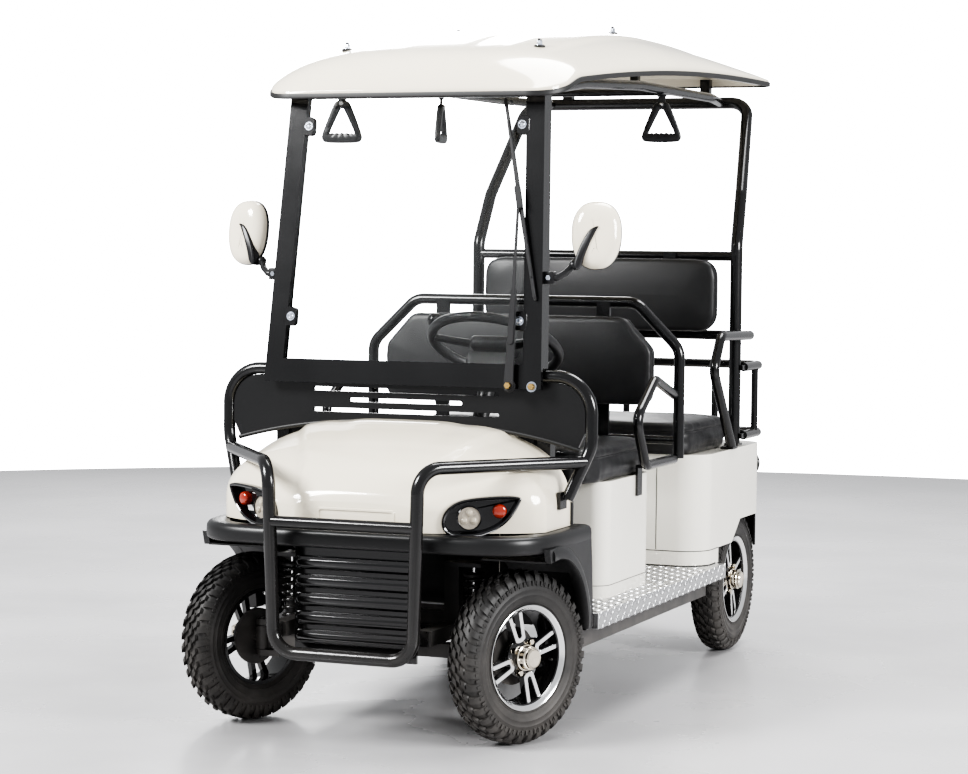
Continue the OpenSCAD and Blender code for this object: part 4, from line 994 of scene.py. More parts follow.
def roof_edge(y):
    drop = 0.026 * (1 - ease((y - 0.128) / 0.17))
    return 1.660 + 0.108 * (1 - (1 - (y - 0.128) / 1.948) ** 2.2) - drop


def roof_mid(y):
    t = (y - 0.128) / 1.948
    if t < 0.5:
        return 1.690 + 0.176 * math.sin(math.pi * t) ** 0.62
    return 1.866 - 0.056 * ((t - 0.5) / 0.5) ** 2


def roof_half(y):
    front, rear = max(0, 1 - (y - 0.128) / 0.085), max(0, 1 - (2.076 - y) / 0.060)
    inset = 0.085 * (1 - math.sqrt(1 - front * front)) + 0.045 * (1 - math.sqrt(1 - rear * rear))
    return 0.420 + 0.022 * min(1, (y - 0.128) / 0.9) - inset


def roof_point(u, y):
    """A point on the roof's upper face."""
    e = roof_edge(y) + 0.020
    front, rear = min(1, (y - 0.128) / 0.200), min(1, (2.076 - y) / 0.160)
    rise = (1 - (1 - front) ** 2.6) ** 0.62 * (1 - (1 - rear) ** 2.2) ** 0.7
    z = e + (roof_mid(y) + 0.004 - e) * (1 - abs(u) ** 3.4) ** 0.62 * rise
    x = u * roof_half(y)
    length = ease((y - 0.26) / 0.30) * ease((1.95 - y) / 0.25)
    for middle, width in ((0.0, 0.085), (0.262, 0.050)):
        away = abs(abs(x) - middle)
        z += 0.0055 * length * (1 - ease((away - width) / 0.022))
    return x, y - axle_y, z


across = [math.sin(math.pi / 2 * (i / 48 - 1)) for i in range(97)]
back = [0.128 + 1.948 * (0.5 - 0.5 * math.cos(math.pi * i / 96)) for i in range(97)]
nx, ny = len(across), len(back)
skin = [roof_point(u, y) for y in back for u in across]
under = []
for y in back:
    for u in across:
        x, py, z = roof_point(u, y)
        lip = max(0, 1 - min((1 - abs(u)) * 12, (y - 0.128) * 30, (2.076 - y) * 30))
        under.append((x * (1 - 0.012 * (1 - lip)), py, roof_edge(y) + 0.004 if lip > 0 else z
                      - 0.011))
ring = ([i for i in range(nx)] + [j * nx + nx - 1 for j in range(1, ny)]
        + [(ny - 1) * nx + i for i in range(nx - 2, -1, -1)]
        + [j * nx for j in range(ny - 2, 0, -1)])
faces = [(j * nx + i, j * nx + i + 1, (j + 1) * nx + i + 1, (j + 1) * nx + i)
         for j in range(ny - 1) for i in range(nx - 1)]
count = nx * ny
faces += [tuple(reversed([count + k for k in f])) for f in faces]
faces += [(ring[(k + 1) % len(ring)], ring[k], count + ring[k], count + ring[(k + 1) % len(ring)])
          for k in range(len(ring))]
roof = build("roof_canopy", skin + under, faces, cream_gloss, sharp=50, merge=0.0000001)
edge_round = roof.modifiers.new("edge", "BEVEL")
edge_round.width = 0.007
edge_round.segments = 3
edge_round.limit_method = "ANGLE"
edge_round.angle_limit = math.radians(50)
settle(roof, "chassis", "cream_shell", "roof_shell")

rim_line = []
for k in ring:
    x, y, z = skin[k]
    rim_line.append(Vector((x, y, roof_edge(y + 0.912) + 0.006)))
points, faces, n = [], [], len(rim_line)
RUBBER = [(-0.0050, 0.0080), (0.0035, 0.0080), (0.0048, 0.0040), (0.0048, -0.0030),
          (0.0020, -0.0058),
          (-0.0060, -0.0058), (-0.0075, -0.0020), (-0.0075, 0.0040)]
for i, p in enumerate(rim_line):
    run = (rim_line[(i + 1) % n] - rim_line[i - 1]).normalized()
    out = Vector((run.y, -run.x, 0)).normalized()
    points += [p + out * a + Vector((0, 0, b)) for a, b in RUBBER]
for i in range(n):
    faces += [(i * 8 + k, i * 8 + (k + 1) % 8, (i + 1) % n * 8 + (k + 1) % 8, (i + 1) % n * 8 + k)
              for k in range(8)]
settle(build("roof_rubber_edge", points, faces, rubber_trim, sharp=40), "chassis", "dark_plastic")


def stud(high=0.020):
    """A domed cap nut on a washer over a rubber ring, drawn upwards from the origin."""
    rubber = build("rubber", *turned_form([(0.0001, -0.003), (0.0150, -0.003), (0.0155, 0.0005),
                                           (0.0140, 0.003),
                                           (0.0001, 0.003)], 24), rubber_trim)
    washer = build("washer", *turned_form([(0.0001, 0.003), (0.0122, 0.003), (0.0118, 0.0045),
                                           (0.0001, 0.0045)], 24), zinc)
    nut = build("nut", *hex_nut(0.0080, high * 0.55), zinc)
    nut.data.transform(Matrix.Translation((0, 0, 0.0045)))
    tip = build("tip", *turned_form([(0.0001, 0.008), (0.0052, 0.008), (0.0052, high),
                                     (0.0042, high + 0.001),
                                     (0.0001, high + 0.001)], 16), lamp_black)
    return joined("stud", rubber, washer, nut, tip)


studs = []
for x, y in ((0.279, 0.367), (-0.279, 0.367), (0.241, 1.066), (-0.241, 1.066)):
    one = stud()
    studs.append(placed(one, Matrix.Translation((x, y - axle_y,
                                                 roof_point(x / roof_half(y), y)[2]))))
settle(joined("roof_studs", *studs), "chassis", "spring_steel")

# ---- Windscreen ----
# A welded frame of flat black bar with clear safety glass behind it. Four rounded tabs hold the
# glass with domed blue-zinc bolts, and a single wiper turns on a brass-nutted pivot.
brass = finish("brass_nut", (0.58, 0.40, 0.16), 0.28, metal=1.0, clouds=50, shift=0.2)
glass = bpy.data.materials.new("screen_glass")
glass.use_nodes = True
shader = glass.node_tree.nodes["Principled BSDF"]
shader.inputs["Roughness"].default_value = 0.0
shader.inputs["IOR"].default_value = 1.45
shader.inputs["Transmission Weight"].default_value = 1.0
shader.inputs["Base Color"].default_value = (0.965, 0.978, 0.972, 1)
dress("windscreen_glass", glass)
dress("windscreen_frame", powder_black)
screen = Matrix.Translation((0, -0.812, 0.888)) @ spun("X", 83.1)


def screen_half(s):
    return 0.393 - 0.033 * s / 0.7897


def round_plate(half_w, half_h, corner, steps=6):
    """An outline of a rectangle with round corners."""
    return [(sx * (half_w - corner) + corner * math.cos(math.radians(a)),
             sy * (half_h - corner) + corner * math.sin(math.radians(a)))
            for sx, sy, start in ((1, 1, 0), (-1, 1, 90), (-1, -1, 180), (1, -1, 270))
            for a in [start + 90 * k / steps for k in range(steps + 1)]]


def domed_bolt(radius, material, washer=1.45):
    """A domed bolt head on its washer, up Z from the origin."""
    disc = build("disc", *turned_form([(0.0001, 0), (radius * washer, 0), (radius * washer, 0.0011),
                                       (radius * washer * 0.94, 0.0016), (0.0001, 0.0016)], 24),
                                       material)
    dome = build("dome", *turned_form([(0.0001, 0.0014), (radius, 0.0014), (radius * 0.98, 0.003),
                                       (radius * 0.8, 0.0052), (radius * 0.45, 0.0064),
                                       (radius * 0.40, 0.0050),
                                       (0.0001, 0.0050)], 24), material)
    return joined("bolt", disc, dome)


tabs = []
for side in (1, -1):
    for s in (0.174, 0.682):
        x = side * (screen_half(s) - 0.050 - 0.008)
        tab = build("tab", *plate(round_plate(0.017, 0.025, 0.011),
                                  ((-0.019, 0.0006), (-0.0186, 0), (0.0002, 0),
                                                                    (0.0012, 0.0010))),
                                                                    powder_black)
        bolt = domed_bolt(0.0082, zinc)
        bolt.data.transform(Matrix.Translation((-side * 0.003, 0, 0.0012)))
        tabs.append(placed(joined("tab", tab, bolt), screen @ Matrix.Translation((x, s, 0))))
settle(joined("windscreen_tabs", *tabs), "chassis", "frame_black")


def bar(name, a, b, wide_a, wide_b, thick, material, height=0.0):
    """A flat bar in X and Y from a to b that tapers in width, from a height up by its thickness."""
    a, b = Vector(a), Vector(b)
    run = (b - a).normalized()
    out = Vector((-run.y, run.x))
    outline = []
    for end, wide, way in ((a, wide_a, -1), (b, wide_b, 1)):
        outline += [end + (run * way * math.sin(math.radians(t)) + out * -way
                           * math.cos(math.radians(t))) * (wide / 2)
                    for t in range(0, 181, 30)]
    outline = [tuple(p) for p in outline]
    return build(name, *plate(outline, ((height, 0.0006), (height + 0.0006, 0),
                                        (height + thick - 0.0008, 0),
                                        (height + thick, 0.0010))), material)


wiper_black = finish("wiper_black", (0.014, 0.014, 0.015), 0.36, grain=500, bump=0.15)
pieces = [bar("lever", (0.311, 0.006), (0.3115, 0.250), 0.026, 0.015, 0.007, wiper_black, 0.0145),
          bar("arm", (0.3115, 0.232), (0.312, 0.492), 0.009, 0.007, 0.004, wiper_black, 0.0185),
          bar("spring_cover", (0.3112, 0.120), (0.3114, 0.236), 0.017, 0.013, 0.0045, wiper_black,
              0.0208),
          bar("blade_rubber", (0.367, 0.229), (0.257, 0.747), 0.006, 0.006, 0.009, rubber_trim,
              0.0012),
          bar("blade_spine", (0.3655, 0.236), (0.2585, 0.740), 0.009, 0.009, 0.0025, wiper_black,
              0.010),
          bar("bridge_low", (0.3545, 0.288), (0.312, 0.492), 0.006, 0.013, 0.0045, wiper_black,
              0.0125),
          bar("bridge_high", (0.312, 0.492), (0.2695, 0.688), 0.013, 0.006, 0.0045, wiper_black,
              0.0125),
          bar("clip", (0.3165, 0.470), (0.3075, 0.514), 0.017, 0.017, 0.007, wiper_black, 0.0170)]
nut = build("nut", *hex_nut(0.0092, 0.009), brass)
nut.data.transform(Matrix.Translation((0.311, 0.006, 0.0215)))
collar = build("collar", *turned_form([(0.0001, 0.0), (0.0165, 0.0), (0.0165, 0.0045),
                                       (0.0140, 0.0062),
                                       (0.0001, 0.0062)], 32), wiper_black)
collar.data.transform(Matrix.Translation((0.311, 0.006, 0.0085)))
stem = build("stem", *turned_form([(0.0001, 0.0), (0.0060, 0.0), (0.0060, 0.010), (0.0001, 0.010)],
                                  20), brass)
stem.data.transform(Matrix.Translation((0.311, 0.006, 0.0010)))
second = build("second", *hex_nut(0.0092, 0.008), brass)
second.data.transform(Matrix.Translation((0.368, 0.006, 0.0035)))
second_ring = build("ring", *turned_form([(0.0001, 0), (0.014, 0), (0.0136, 0.0022),
                                          (0.0001, 0.0022)], 28), zinc)
second_ring.data.transform(Matrix.Translation((0.368, 0.006, 0.0008)))
settle(placed(joined("screen_wiper", *pieces, nut, collar, stem, second, second_ring), screen),
       "chassis",
       "black_plastic", "wiper")

# ---- Mirrors ----
# Cream moulded shells with black rims and silvered glass behind. A tapered black blade runs from
# the shell's middle to its stem, which stands in a ball clamp on the windscreen's post.
mirror_glass = finish("mirror_glass", (0.86, 0.87, 0.88), 0.02, metal=1.0, bump=0.0, shift=0.02,
                      spread=0.0)
arm_black = finish("arm_black", (0.013, 0.013, 0.014), 0.33, grain=600, bump=0.2)
for side, name in ((1, "left"), (-1, "right")):
    oval = [(0.065 * math.copysign(abs(math.cos(t)) ** 0.82, math.cos(t))
             * (1 + 0.05 * math.sin(t)),
             0.088 * math.copysign(abs(math.sin(t)) ** 0.88, math.sin(t)))
            for t in [math.tau * k / 72 for k in range(72)]]
    shell = build("shell", *plate(oval, ((-0.006, 0.0035), (-0.004, 0.0010), (0.004, 0.0018),
                                         (0.011, 0.0050),
                                         (0.0175, 0.0105), (0.0225, 0.0180), (0.0258, 0.0275),
                                         (0.0278, 0.0390),
                                         (0.0286, 0.0520))), cream_gloss, sharp=60)
    rim_band = build("rim_band", *plate(oval, ((-0.0115, 0.0030), (-0.0120, 0.0012),
                                               (-0.0100, 0.0), (-0.0035, -0.0002),
                                               (-0.0020, 0.0012), (-0.0020, 0.0100))), arm_black,
                                               sharp=50)
    pane = build("pane", *plate(oval, ((-0.0119, 0.0070), (-0.0124, 0.0076), (-0.0122, 0.0300))),
                 mirror_glass, sharp=70)
    blade_line = [(0.000, 0.022), (-0.010, 0.010), (-0.026, -0.020), (-0.041, -0.058),
                  (-0.047, -0.088)]
    outline = []
    for k, (x, y) in enumerate(blade_line):
        outline.append((x + 0.014 * (0.75 + 0.25 * math.sin(math.pi * k / 4)), y + 0.002))
    for k, (x, y) in reversed(list(enumerate(blade_line))):
        outline.append((x - 0.012 * (0.75 + 0.25 * math.sin(math.pi * k / 4)), y - 0.004))
    outline = rounded_outline(outline, 2)
    blade = build("blade", *plate(outline, ((0.008, 0.0), (0.0275, 0.0), (0.0310, 0.0014),
                                            (0.0330, 0.0042))), arm_black,
                  sharp=50)
    head = joined("mirror", shell, rim_band, pane, blade)
    stand = (Matrix.Diagonal((side, 1, 1, 1)) @ Matrix.Translation((0.499, -0.700, 1.281))
             @ spun("Z", 14) @ spun("X", -6)
             @ spun("X", 90))
    placed(head, stand)
    reach = [tube("stem", [(0.379, -0.752, 1.172), (0.412, -0.752, 1.172), (0.432, -0.738, 1.186),
                           (0.4480, -0.7215, 1.2080)], 0.0085, arm_black, bend=0.012),
             build("ball", *turned_form([(0.0001, -0.013)]
                                        + [(0.0135 * math.cos(a), 0.0135 * math.sin(a))
                                        for a in [math.radians(d) for d in range(-70, 71, 14)]]
                                        + [(0.0001, 0.013)], 24),
                   arm_black, sharp=50),
             block("clamp", (-0.014, -0.011, -0.016), (0.014, 0.011, 0.016), arm_black, 0.003)]
    reach[1].data.transform(Matrix.Translation((0.4470, -0.7225, 1.2050)))
    reach[2].data.transform(Matrix.Translation((0.392, -0.752, 1.172)))
    clamp_nut = build("nut", *hex_nut(0.0070, 0.006), zinc)
    clamp_nut.data.transform(Matrix.Translation((0.392, -0.763, 1.172)) @ spun("X", 90))
    arm = placed(joined("arm", *reach, clamp_nut), Matrix.Diagonal((side, 1, 1, 1)))
    settle(joined("mirror_" + name, head, arm), "chassis", "cream_shell")
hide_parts("mirrors")

# ---- Grab handles ----
# Three black moulded triangles with finger grips along the foot, each on a webbing loop and a
# swivel under the roof's rails.


def rail_height(y):
    if y < 0.520:
        return 1.655 + (y - 0.214) * 0.035 / 0.306
    return 1.690 + (y - 0.520) * 0.022 / 0.480 if y < 1.0 else 1.712 + (y - 1.0) * 0.004 / 0.995


outer = rounded_outline([(-0.016, -0.036), (0.016, -0.036), (0.026, -0.050), (0.059, -0.132),
                         (0.058, -0.146),
                         (0.048, -0.155), (-0.048, -0.155), (-0.058, -0.146), (-0.059, -0.132),
                         (-0.026, -0.050)], 3)
inner = [(-0.006, -0.061), (0.000, -0.058), (0.006, -0.061)]
inner += [(0.006 + 0.031 * k / 5, -0.061 - 0.062 * k / 5)
          for k in range(1, 6)] + [(0.038, -0.128), (0.034, -0.131)]
inner += [(0.030 - 0.060 * k / 32, -0.1305 + 0.0042 * abs(math.cos(math.pi * 4 * k / 32)))
          for k in range(33)]
inner += [(-0.034, -0.131), (-0.038, -0.128)] + [(-0.037 + 0.031 * k / 5, -0.123 + 0.062 * k / 5)
                                                 for k in range(5)]
SAMPLES = 150
middle = Vector((0, -0.100))


def by_angle(line):
    """Points of an outline at even angles about the handle's middle."""
    line = [Vector(p) for p in even_outline(line, 0.002, SAMPLES)]
    line.sort(key=lambda p: math.atan2(p.y - middle.y, p.x - middle.x))
    wanted = [-math.pi + math.tau * k / SAMPLES for k in range(SAMPLES)]
    return [min(line, key=lambda p: abs(math.atan2(p.y - middle.y, p.x - middle.x) - want))
            for want in wanted]


outer, inner = by_angle(outer), by_angle(inner)
pulls = ((-0.0085, 0.18), (-0.0065, 0.04), (-0.003, 0.0), (0.003, 0.0), (0.0065, 0.04),
         (0.0085, 0.18))
points = []
for near, far, levels in ((outer, inner, pulls), (inner, outer, pulls[::-1])):
    for depth, pull in levels:
        points += [(*near[k].lerp(far[k], pull), depth) for k in range(SAMPLES)]
faces = bands(12, SAMPLES, around=True)
handles = []
for side, y, turn in ((-1, 0.490, 4), (-1, 1.200, 100), (1, 1.200, 8)):
    grip = build("grip", points, faces, arm_black, sharp=40, merge=0.0002)
    strap = block("strap", (-0.011, -0.046, -0.0025), (0.011, -0.0146, 0.0025), rubber_trim, 0.001)
    cap = block("cap", (-0.013, -0.0215, -0.006), (0.013, -0.0146, 0.006), arm_black, 0.0015)
    keeper = domed_bolt(0.0042, chrome)
    keeper.data.transform(Matrix.Translation((0, -0.044, 0.0083)))
    place = (Matrix.Translation((side * 0.350, y - axle_y, rail_height(y)))
             @ spun("Z", turn)
             @ spun("X", 90))
    handles.append(placed(joined("handle", grip, strap, cap, keeper), place))
settle(joined("grab_handle_set", *handles), "chassis", "handle_plastic", "grab_handles")

# ---- Dash panel, dashboard and controls ----
# The pressed panel inside the arch has a rubber edge over the cowl. Behind it are the moulded
# dashboard, the column and a padded steering wheel with its lever and turning knob.
panel_black = finish("panel_black", (0.0095, 0.0095, 0.010), 0.30, coat=0.15, grain=500, bump=0.35,
                     depth=0.0004)
moulded_black = finish("moulded_black", (0.011, 0.011, 0.0115), 0.36, grain=700, bump=0.45,
                       depth=0.0003,
                       dust=(0.05, 0.40, 0.10))
dress("dash_panel", panel_black)
dress("dashboard", moulded_black, edge=0.006)
dress("steering_column", moulded_black, edge=0.006)
dress("pedals", moulded_black, edge=0.002)
low_edge = [(x / 1000, -0.7705, (792 - 62 * abs(x / 500.7) ** 2.4) / 1000 - 0.0015)
            for x in range(-486, 487, 27)]
panel_rubber = tube("panel_rubber", low_edge, 0.0062, rubber_trim, sides=12)
settle(panel_rubber, "chassis", "dark_plastic")

wheel_black = finish("wheel_black", (0.016, 0.016, 0.017), 0.40, grain=800, bump=0.4)
rim_form = build("rim", *turned_form([(0.172 + 0.0135 * math.cos(a), 0.0135 * math.sin(a))
                                      for a in [math.tau * k / 20 for k in range(20)]], 120),
                                      wheel_black, sharp=80)
parts = [rim_form]
for turn in (-20, 90, 200):
    spoke = build("spoke", *plate([(0.030, -0.021), (0.090, -0.015), (0.163, -0.012),
                                   (0.163, 0.012), (0.090, 0.015),
                                   (0.030, 0.021)],
                                   ((-0.013, 0.002), (-0.010, 0), (-0.004, 0), (-0.001, 0.003))),
                  wheel_black, sharp=50)
    parts.append(placed(spoke, spun("Z", turn)))
pad = build("pad", *plate(round_plate(0.062, 0.044, 0.018),
                          ((-0.026, 0.012), (-0.020, 0.002), (-0.010, 0.0), (0.004, 0.001),
                                                            (0.009, 0.005), (0.0115, 0.012),
                                                            (0.0125, 0.024))),
            wheel_black, sharp=60)
centre = build("centre", *plate(round_plate(0.034, 0.020, 0.010),
                                ((0.010, 0.0), (0.0138, 0.0008), (0.0150, 0.003))),
               arm_black, sharp=50)
shaft = build("shaft", *turned_form([(0.0001, -0.139), (0.0095, -0.139), (0.0095, -0.020),
                                     (0.030, -0.018),
                                     (0.0001, -0.018)], 24), axle_black)
knob_post = tube("knob_post", [(-0.1605, -0.0585, 0.004), (-0.1605, -0.0585, 0.032)], 0.006,
                 chrome, sides=16)
knob = build("knob", *turned_form([(0.0001, 0.026), (0.014, 0.026), (0.021, 0.033),
                                   (0.0225, 0.043), (0.019, 0.053),
                                   (0.010, 0.0585), (0.0001, 0.0600)], 32), arm_black, sharp=60)
knob.data.transform(Matrix.Translation((-0.1605, -0.0585, 0)))
wheel = joined("steering_wheel_trim", *parts, pad, centre, shaft, knob_post, knob)
tilt = Matrix.Translation((0.160, -0.540, 0.986)) @ spun("X", -28)
placed(wheel, tilt)
settle(wheel, "steering_wheel_body", "handle_plastic", "steering_wheel")
lever = joined("lever", tube("stalk", [(0.022, 0, -0.075), (0.070, 0.010, -0.072),
                                       (0.128, 0.018, -0.058)], 0.0048,
                             chrome, sides=14, bend=0.03),
               tube("grip", [(0.112, 0.016, -0.062), (0.142, 0.020, -0.0545)], 0.0085, arm_black,
                    sides=16))
settle(placed(lever, tilt), "chassis", "handle_plastic")

# ---- Wings, bumper band and grille ----
# One moulded satin black band carries the front ledge and both wheel arches. The grille's five
# louvres are gloss black with rounded edges.


def bumper_path():
    """The outer edge of the wings in plan, from the right rear round the front to the left rear."""
    half = [(0.0, -0.200), (0.210, -0.198), (0.330, -0.190), (0.395, -0.168), (0.445, -0.125),
            (0.472, -0.070),
            (0.484, 0.000), (0.487, 0.090), (0.487, 0.180), (0.487, 0.235)]
    line = [(-x, y) for x, y in reversed(half[1:])] + half
    for _ in range(2):
        cut = [line[0]]
        for p, n in zip(line, line[1:]):
            cut += [(p[0] * 0.75 + n[0] * 0.25, p[1] * 0.75 + n[1] * 0.25),
                    (p[0] * 0.25 + n[0] * 0.75, p[1] * 0.25 + n[1] * 0.75)]
        line = cut + [line[-1]]
    return [Vector((x, y - axle_y)) for x, y in line]


path = bumper_path()
BAND = [(-0.085, 0.5330), (-0.040, 0.5345), (-0.016, 0.5345), (-0.006, 0.5310), (-0.001, 0.5240),
        (0.0000, 0.5140),
        (0.0000, 0.4990), (-0.0015, 0.4920), (-0.0060, 0.4885), (-0.0120, 0.4880),
        (-0.0120, 0.4930),
        (-0.0080, 0.4990), (-0.0080, 0.5200), (-0.0200, 0.5270), (-0.085, 0.5270)]
points, faces, n = [], [], len(BAND)
for k, p in enumerate(path):
    run = (path[min(k + 1, len(path) - 1)] - path[max(k - 1, 0)]).normalized()
    out = Vector((run.y, -run.x))
    for d, z in BAND:
        # the ledge stops short of the chassis towers and the cowl's inside
        q = p + out * (d if d > -0.08 else -0.060)
        points.append((q.x, q.y, z))
for k in range(len(path) - 1):
    faces += [(k * n + j, k * n + (j + 1) % n, (k + 1) * n + (j + 1) % n, (k + 1) * n + j)
              for j in range(n)]
faces += [tuple(range(n)), tuple(range((len(path) - 1) * n, len(path) * n))]
band = build("band", points, faces, moulded_black, sharp=42)
skirts = []
for side in (1, -1):
    outer_line = [(-0.070, 0.500), (0.238, 0.500), (0.246, 0.440), (0.260, 0.268), (0.254, 0.262),
                  (0.2055, 0.262)]
    arch = [(-0.010 + 0.2145 * math.cos(math.radians(t)),
             0.255 + 0.2145 * math.sin(math.radians(t)))
            for t in range(3, 104, 5)]
    outline = outer_line + arch
    mesh_points, mesh_faces = plate(outline, ((0.4690, 0.0), (0.4850, 0.0), (0.4866, 0.0018)))
    skirt = build("skirt", [(h, y - axle_y, z) for y, z, h in mesh_points], mesh_faces,
                  moulded_black, sharp=40)
    # the raised lip round the arch, and the groove behind it
    ring_points = []
    LIP = [(0.2135, 0.4640), (0.2135, 0.4905), (0.2165, 0.4945), (0.2300, 0.4950),
           (0.2400, 0.4925), (0.2470, 0.4870),
           (0.2470, 0.4640)]
    turns = range(3, 100, 4)
    m = len(LIP)
    for t in turns:
        a = math.radians(t)
        fade = min(1, (t - 3) / 8 + 0.35) * min(1, (99 - t) / 30 + 0.12)
        ring_points += [(0.4640 + (x - 0.4640) * (0.86 + 0.14 * fade), -0.922 + r * math.cos(a),
                         0.255 + r * math.sin(a))
                        for r, x in LIP]
    ring_faces = bands(len(turns), m)
    ring_faces += [tuple(range(m)), tuple(range((len(turns) - 1) * m, len(turns) * m))]
    lip = build("lip", ring_points, ring_faces, moulded_black, sharp=48)
    back_wall = block("back_wall", (0.224, -0.6560, 0.2640), (0.470, -0.6505, 0.5250),
                      moulded_black, 0.002)
    liner_points = []
    for t in range(50, 105, 6):
        a = math.radians(t)
        liner_points += [(x, -0.922 + r * math.cos(a), 0.255 + r * math.sin(a)) for r, x in
                         ((0.2145, 0.300), (0.2145, 0.470), (0.2195, 0.470), (0.2195, 0.300))]
    count = len(liner_points) // 4
    liner_faces = bands(count, 4) + [(0, 1, 2, 3), tuple(range(count * 4 - 4, count * 4))]
    liner = build("liner", liner_points, liner_faces, moulded_black)
    skirts.append(placed(joined("side", skirt, lip, back_wall, liner),
                         Matrix.Diagonal((side, 1, 1, 1))))
fire_wall = block("fire_wall", (-0.222, -0.6560, 0.3010), (0.222, -0.6505, 0.5250), moulded_black,
                  0.002)
settle(joined("front_wing_moulding", band, *skirts, fire_wall), "chassis", "dark_plastic",
       "front_wings")
louvre_black = finish("louvre_black", (0.006, 0.006, 0.0065), 0.16, coat=0.4, grain=500, bump=0.08,
                      dust=(0.1, 0.45, 0.05))
louvres = []
for i in range(5):
    z = 0.262 + 0.047 * i
    section = [(0.000, -0.021), (0.010, -0.017), (0.0155, -0.008), (0.0165, 0.000),
               (0.0140, 0.009), (0.007, 0.0135),
               (0.000, 0.0145)]
    outline_y = [(-1.0780 - a, z + b) for a, b in section]
    points = []
    for x, pull in ((-0.164, 0.5), (-0.1605, 0.15), (-0.153, 0), (0.153, 0), (0.1605, 0.15),
                    (0.164, 0.5)):
        points += [(x, -1.078 + (y + 1.078) * (1 - pull * 0.7), z + (h - z) * (1 - pull * 0.3))
                   for y, h in outline_y]
    n = len(outline_y)
    faces = bands(6, n) + [tuple(range(n)), tuple(range(5 * n, 6 * n))]
    louvres.append(build("louvre", points, faces, louvre_black, sharp=50))
dress("front_grille", louvre_black, edge=0.001)
settle(joined("grille_louvres", *louvres), "chassis", "black_plastic")

# ---- Body panels, deck and lamps ----
# White moulded seat boxes with shut lines and a plinth, their gaps and foot drawn as thin
# strips of painted shade, round red tail lamps in black bezels, a black skirt behind, and a
# folded bright tread plate floor.
dress("front_seat_box", white_gloss, edge=0.004)
dress("rear_body", white_gloss, edge=0.004)
dress("rear_bumper", moulded_black, edge=0.003)
dress("battery_block", finish("battery_case", (0.03, 0.031, 0.034), 0.5, grain=500, bump=0.3),
      edge=0.004)
tread = finish("tread_plate", (0.60, 0.605, 0.615), 0.30, metal=1.0, grain=500, bump=0.12,
               clouds=12, shift=0.10,
               spread=0.10, dust=(0.1, 0.6, 0.10))
dress("floor_deck", tread, edge=0.0015)
lozenge = build("lozenge", *plate([(0.0140 * math.cos(a), 0.0042 * math.sin(a)) for a in
                                   [math.tau * k / 8 for k in range(8)]],
                                   ((-0.0004, 0), (0.0012, 0.0006),
                                                                          (0.0020, 0.0022))), tread, sharp=30)
lozenge_tree, lozenge_in, lozenge_out = geometry_tree("tread_pattern", [
    ("Width", "NodeSocketFloat"), ("Length", "NodeSocketFloat"), ("Across", "NodeSocketInt"),
    ("Along", "NodeSocketInt"), ("Finish", "NodeSocketMaterial")])
grid = node(lozenge_tree, "GeometryNodeMeshGrid")
spread = node(lozenge_tree, "GeometryNodeInstanceOnPoints")
odd = node(lozenge_tree, "ShaderNodeMath")
number = node(lozenge_tree, "GeometryNodeInputIndex")
way = node(lozenge_tree, "ShaderNodeMath")
spin = node(lozenge_tree, "ShaderNodeCombineXYZ")
real = node(lozenge_tree, "GeometryNodeRealizeInstances")
coat = node(lozenge_tree, "GeometryNodeSetMaterial")
odd.operation = "MODULO"
odd.inputs[1].default_value = 2
way.operation = "MULTIPLY_ADD"
way.inputs[1].default_value = math.radians(90)
way.inputs[2].default_value = math.radians(-45)
wire(lozenge_tree, (lozenge_in, "Width", grid, "Size X"), (lozenge_in, "Length", grid, "Size Y"),
     (lozenge_in, "Across", grid, "Vertices X"), (lozenge_in, "Along", grid, "Vertices Y"),
     (number, "Index", odd, 0), (odd, "Value", way, 0), (way, "Value", spin, "Z"),
     (grid, "Mesh", spread, "Points"), (lozenge_in, "Geometry", spread, "Instance"),
     (spin, "Vector", spread, "Rotation"), (spread, "Instances", real, "Geometry"),
     (real, "Geometry", coat, "Geometry"), (lozenge_in, "Finish", coat, "Material"),
     (coat, "Geometry", lozenge_out, "Geometry"))
fields = []
# the floor in front of each seat, the strips beside the boxes, and both folded edges
for x, y, z, width, length, across_count, along_count, turned in (
        (0, -0.5225, 0.3002, 0.96, 0.204, 37, 9, 0), (0, 0.178, 0.3002, 0.96, 0.340, 37, 13, 0),
        (0.466, -0.210, 0.3002, 0.052, 0.360, 3, 15, 0),
        (-0.466, -0.210, 0.3002, 0.052, 0.360, 3, 15, 0),
        (0.5001, -0.069, 0.279, 0.026, 1.130, 2, 43, 1),
        (-0.5001, -0.069, 0.279, 0.026, 1.130, 2, 43, -1)):
    field = bpy.data.objects.new("field", lozenge.data.copy())
    bpy.context.scene.collection.objects.link(field)
    grown(field, lozenge_tree, width=width, length=length, across=across_count, along=along_count,
          finish=tread)
    fields.append(placed(field, Matrix.Translation((x, y, z))
                         @ Matrix.Rotation(turned * math.pi / 2, 4, "Y")))
bpy.data.objects.remove(lozenge)
settle(joined("deck_lozenges", *fields), "chassis", "tread_plate")

# near-black colour of the shut lines: painted shade in the panel gaps and at the foot of the boxes
shut_line = finish("shut_line", (0.02, 0.02, 0.019), 0.6)


def line_strip(path, half_wide, out, depth=0.0006):
    """A thin dark strip of painted shade that marks the gap of a shut line; the path runs on a face with that
    outward way.
    """
    path, out = [Vector(p) for p in path], Vector(out)
    points, faces = [], []
    for k, p in enumerate(path):
        run = (path[min(k + 1, len(path) - 1)] - path[max(k - 1, 0)]).normalized()
        wide = run.cross(out).normalized() * half_wide
        points += [p - wide - out * 0.001, p + wide - out * 0.001, p + wide + out * depth,
                   p - wide + out * depth]
    for k in range(len(path) - 1):
        faces += [(k * 4 + i, k * 4 + (i + 1) % 4, (k + 1) * 4 + (i + 1) % 4, (k + 1) * 4 + i)
                  for i in range(4)]
    faces += [(0, 1, 2, 3), tuple(range(len(path) * 4 - 4, len(path) * 4))]
    return build("strip", points, faces, shut_line)


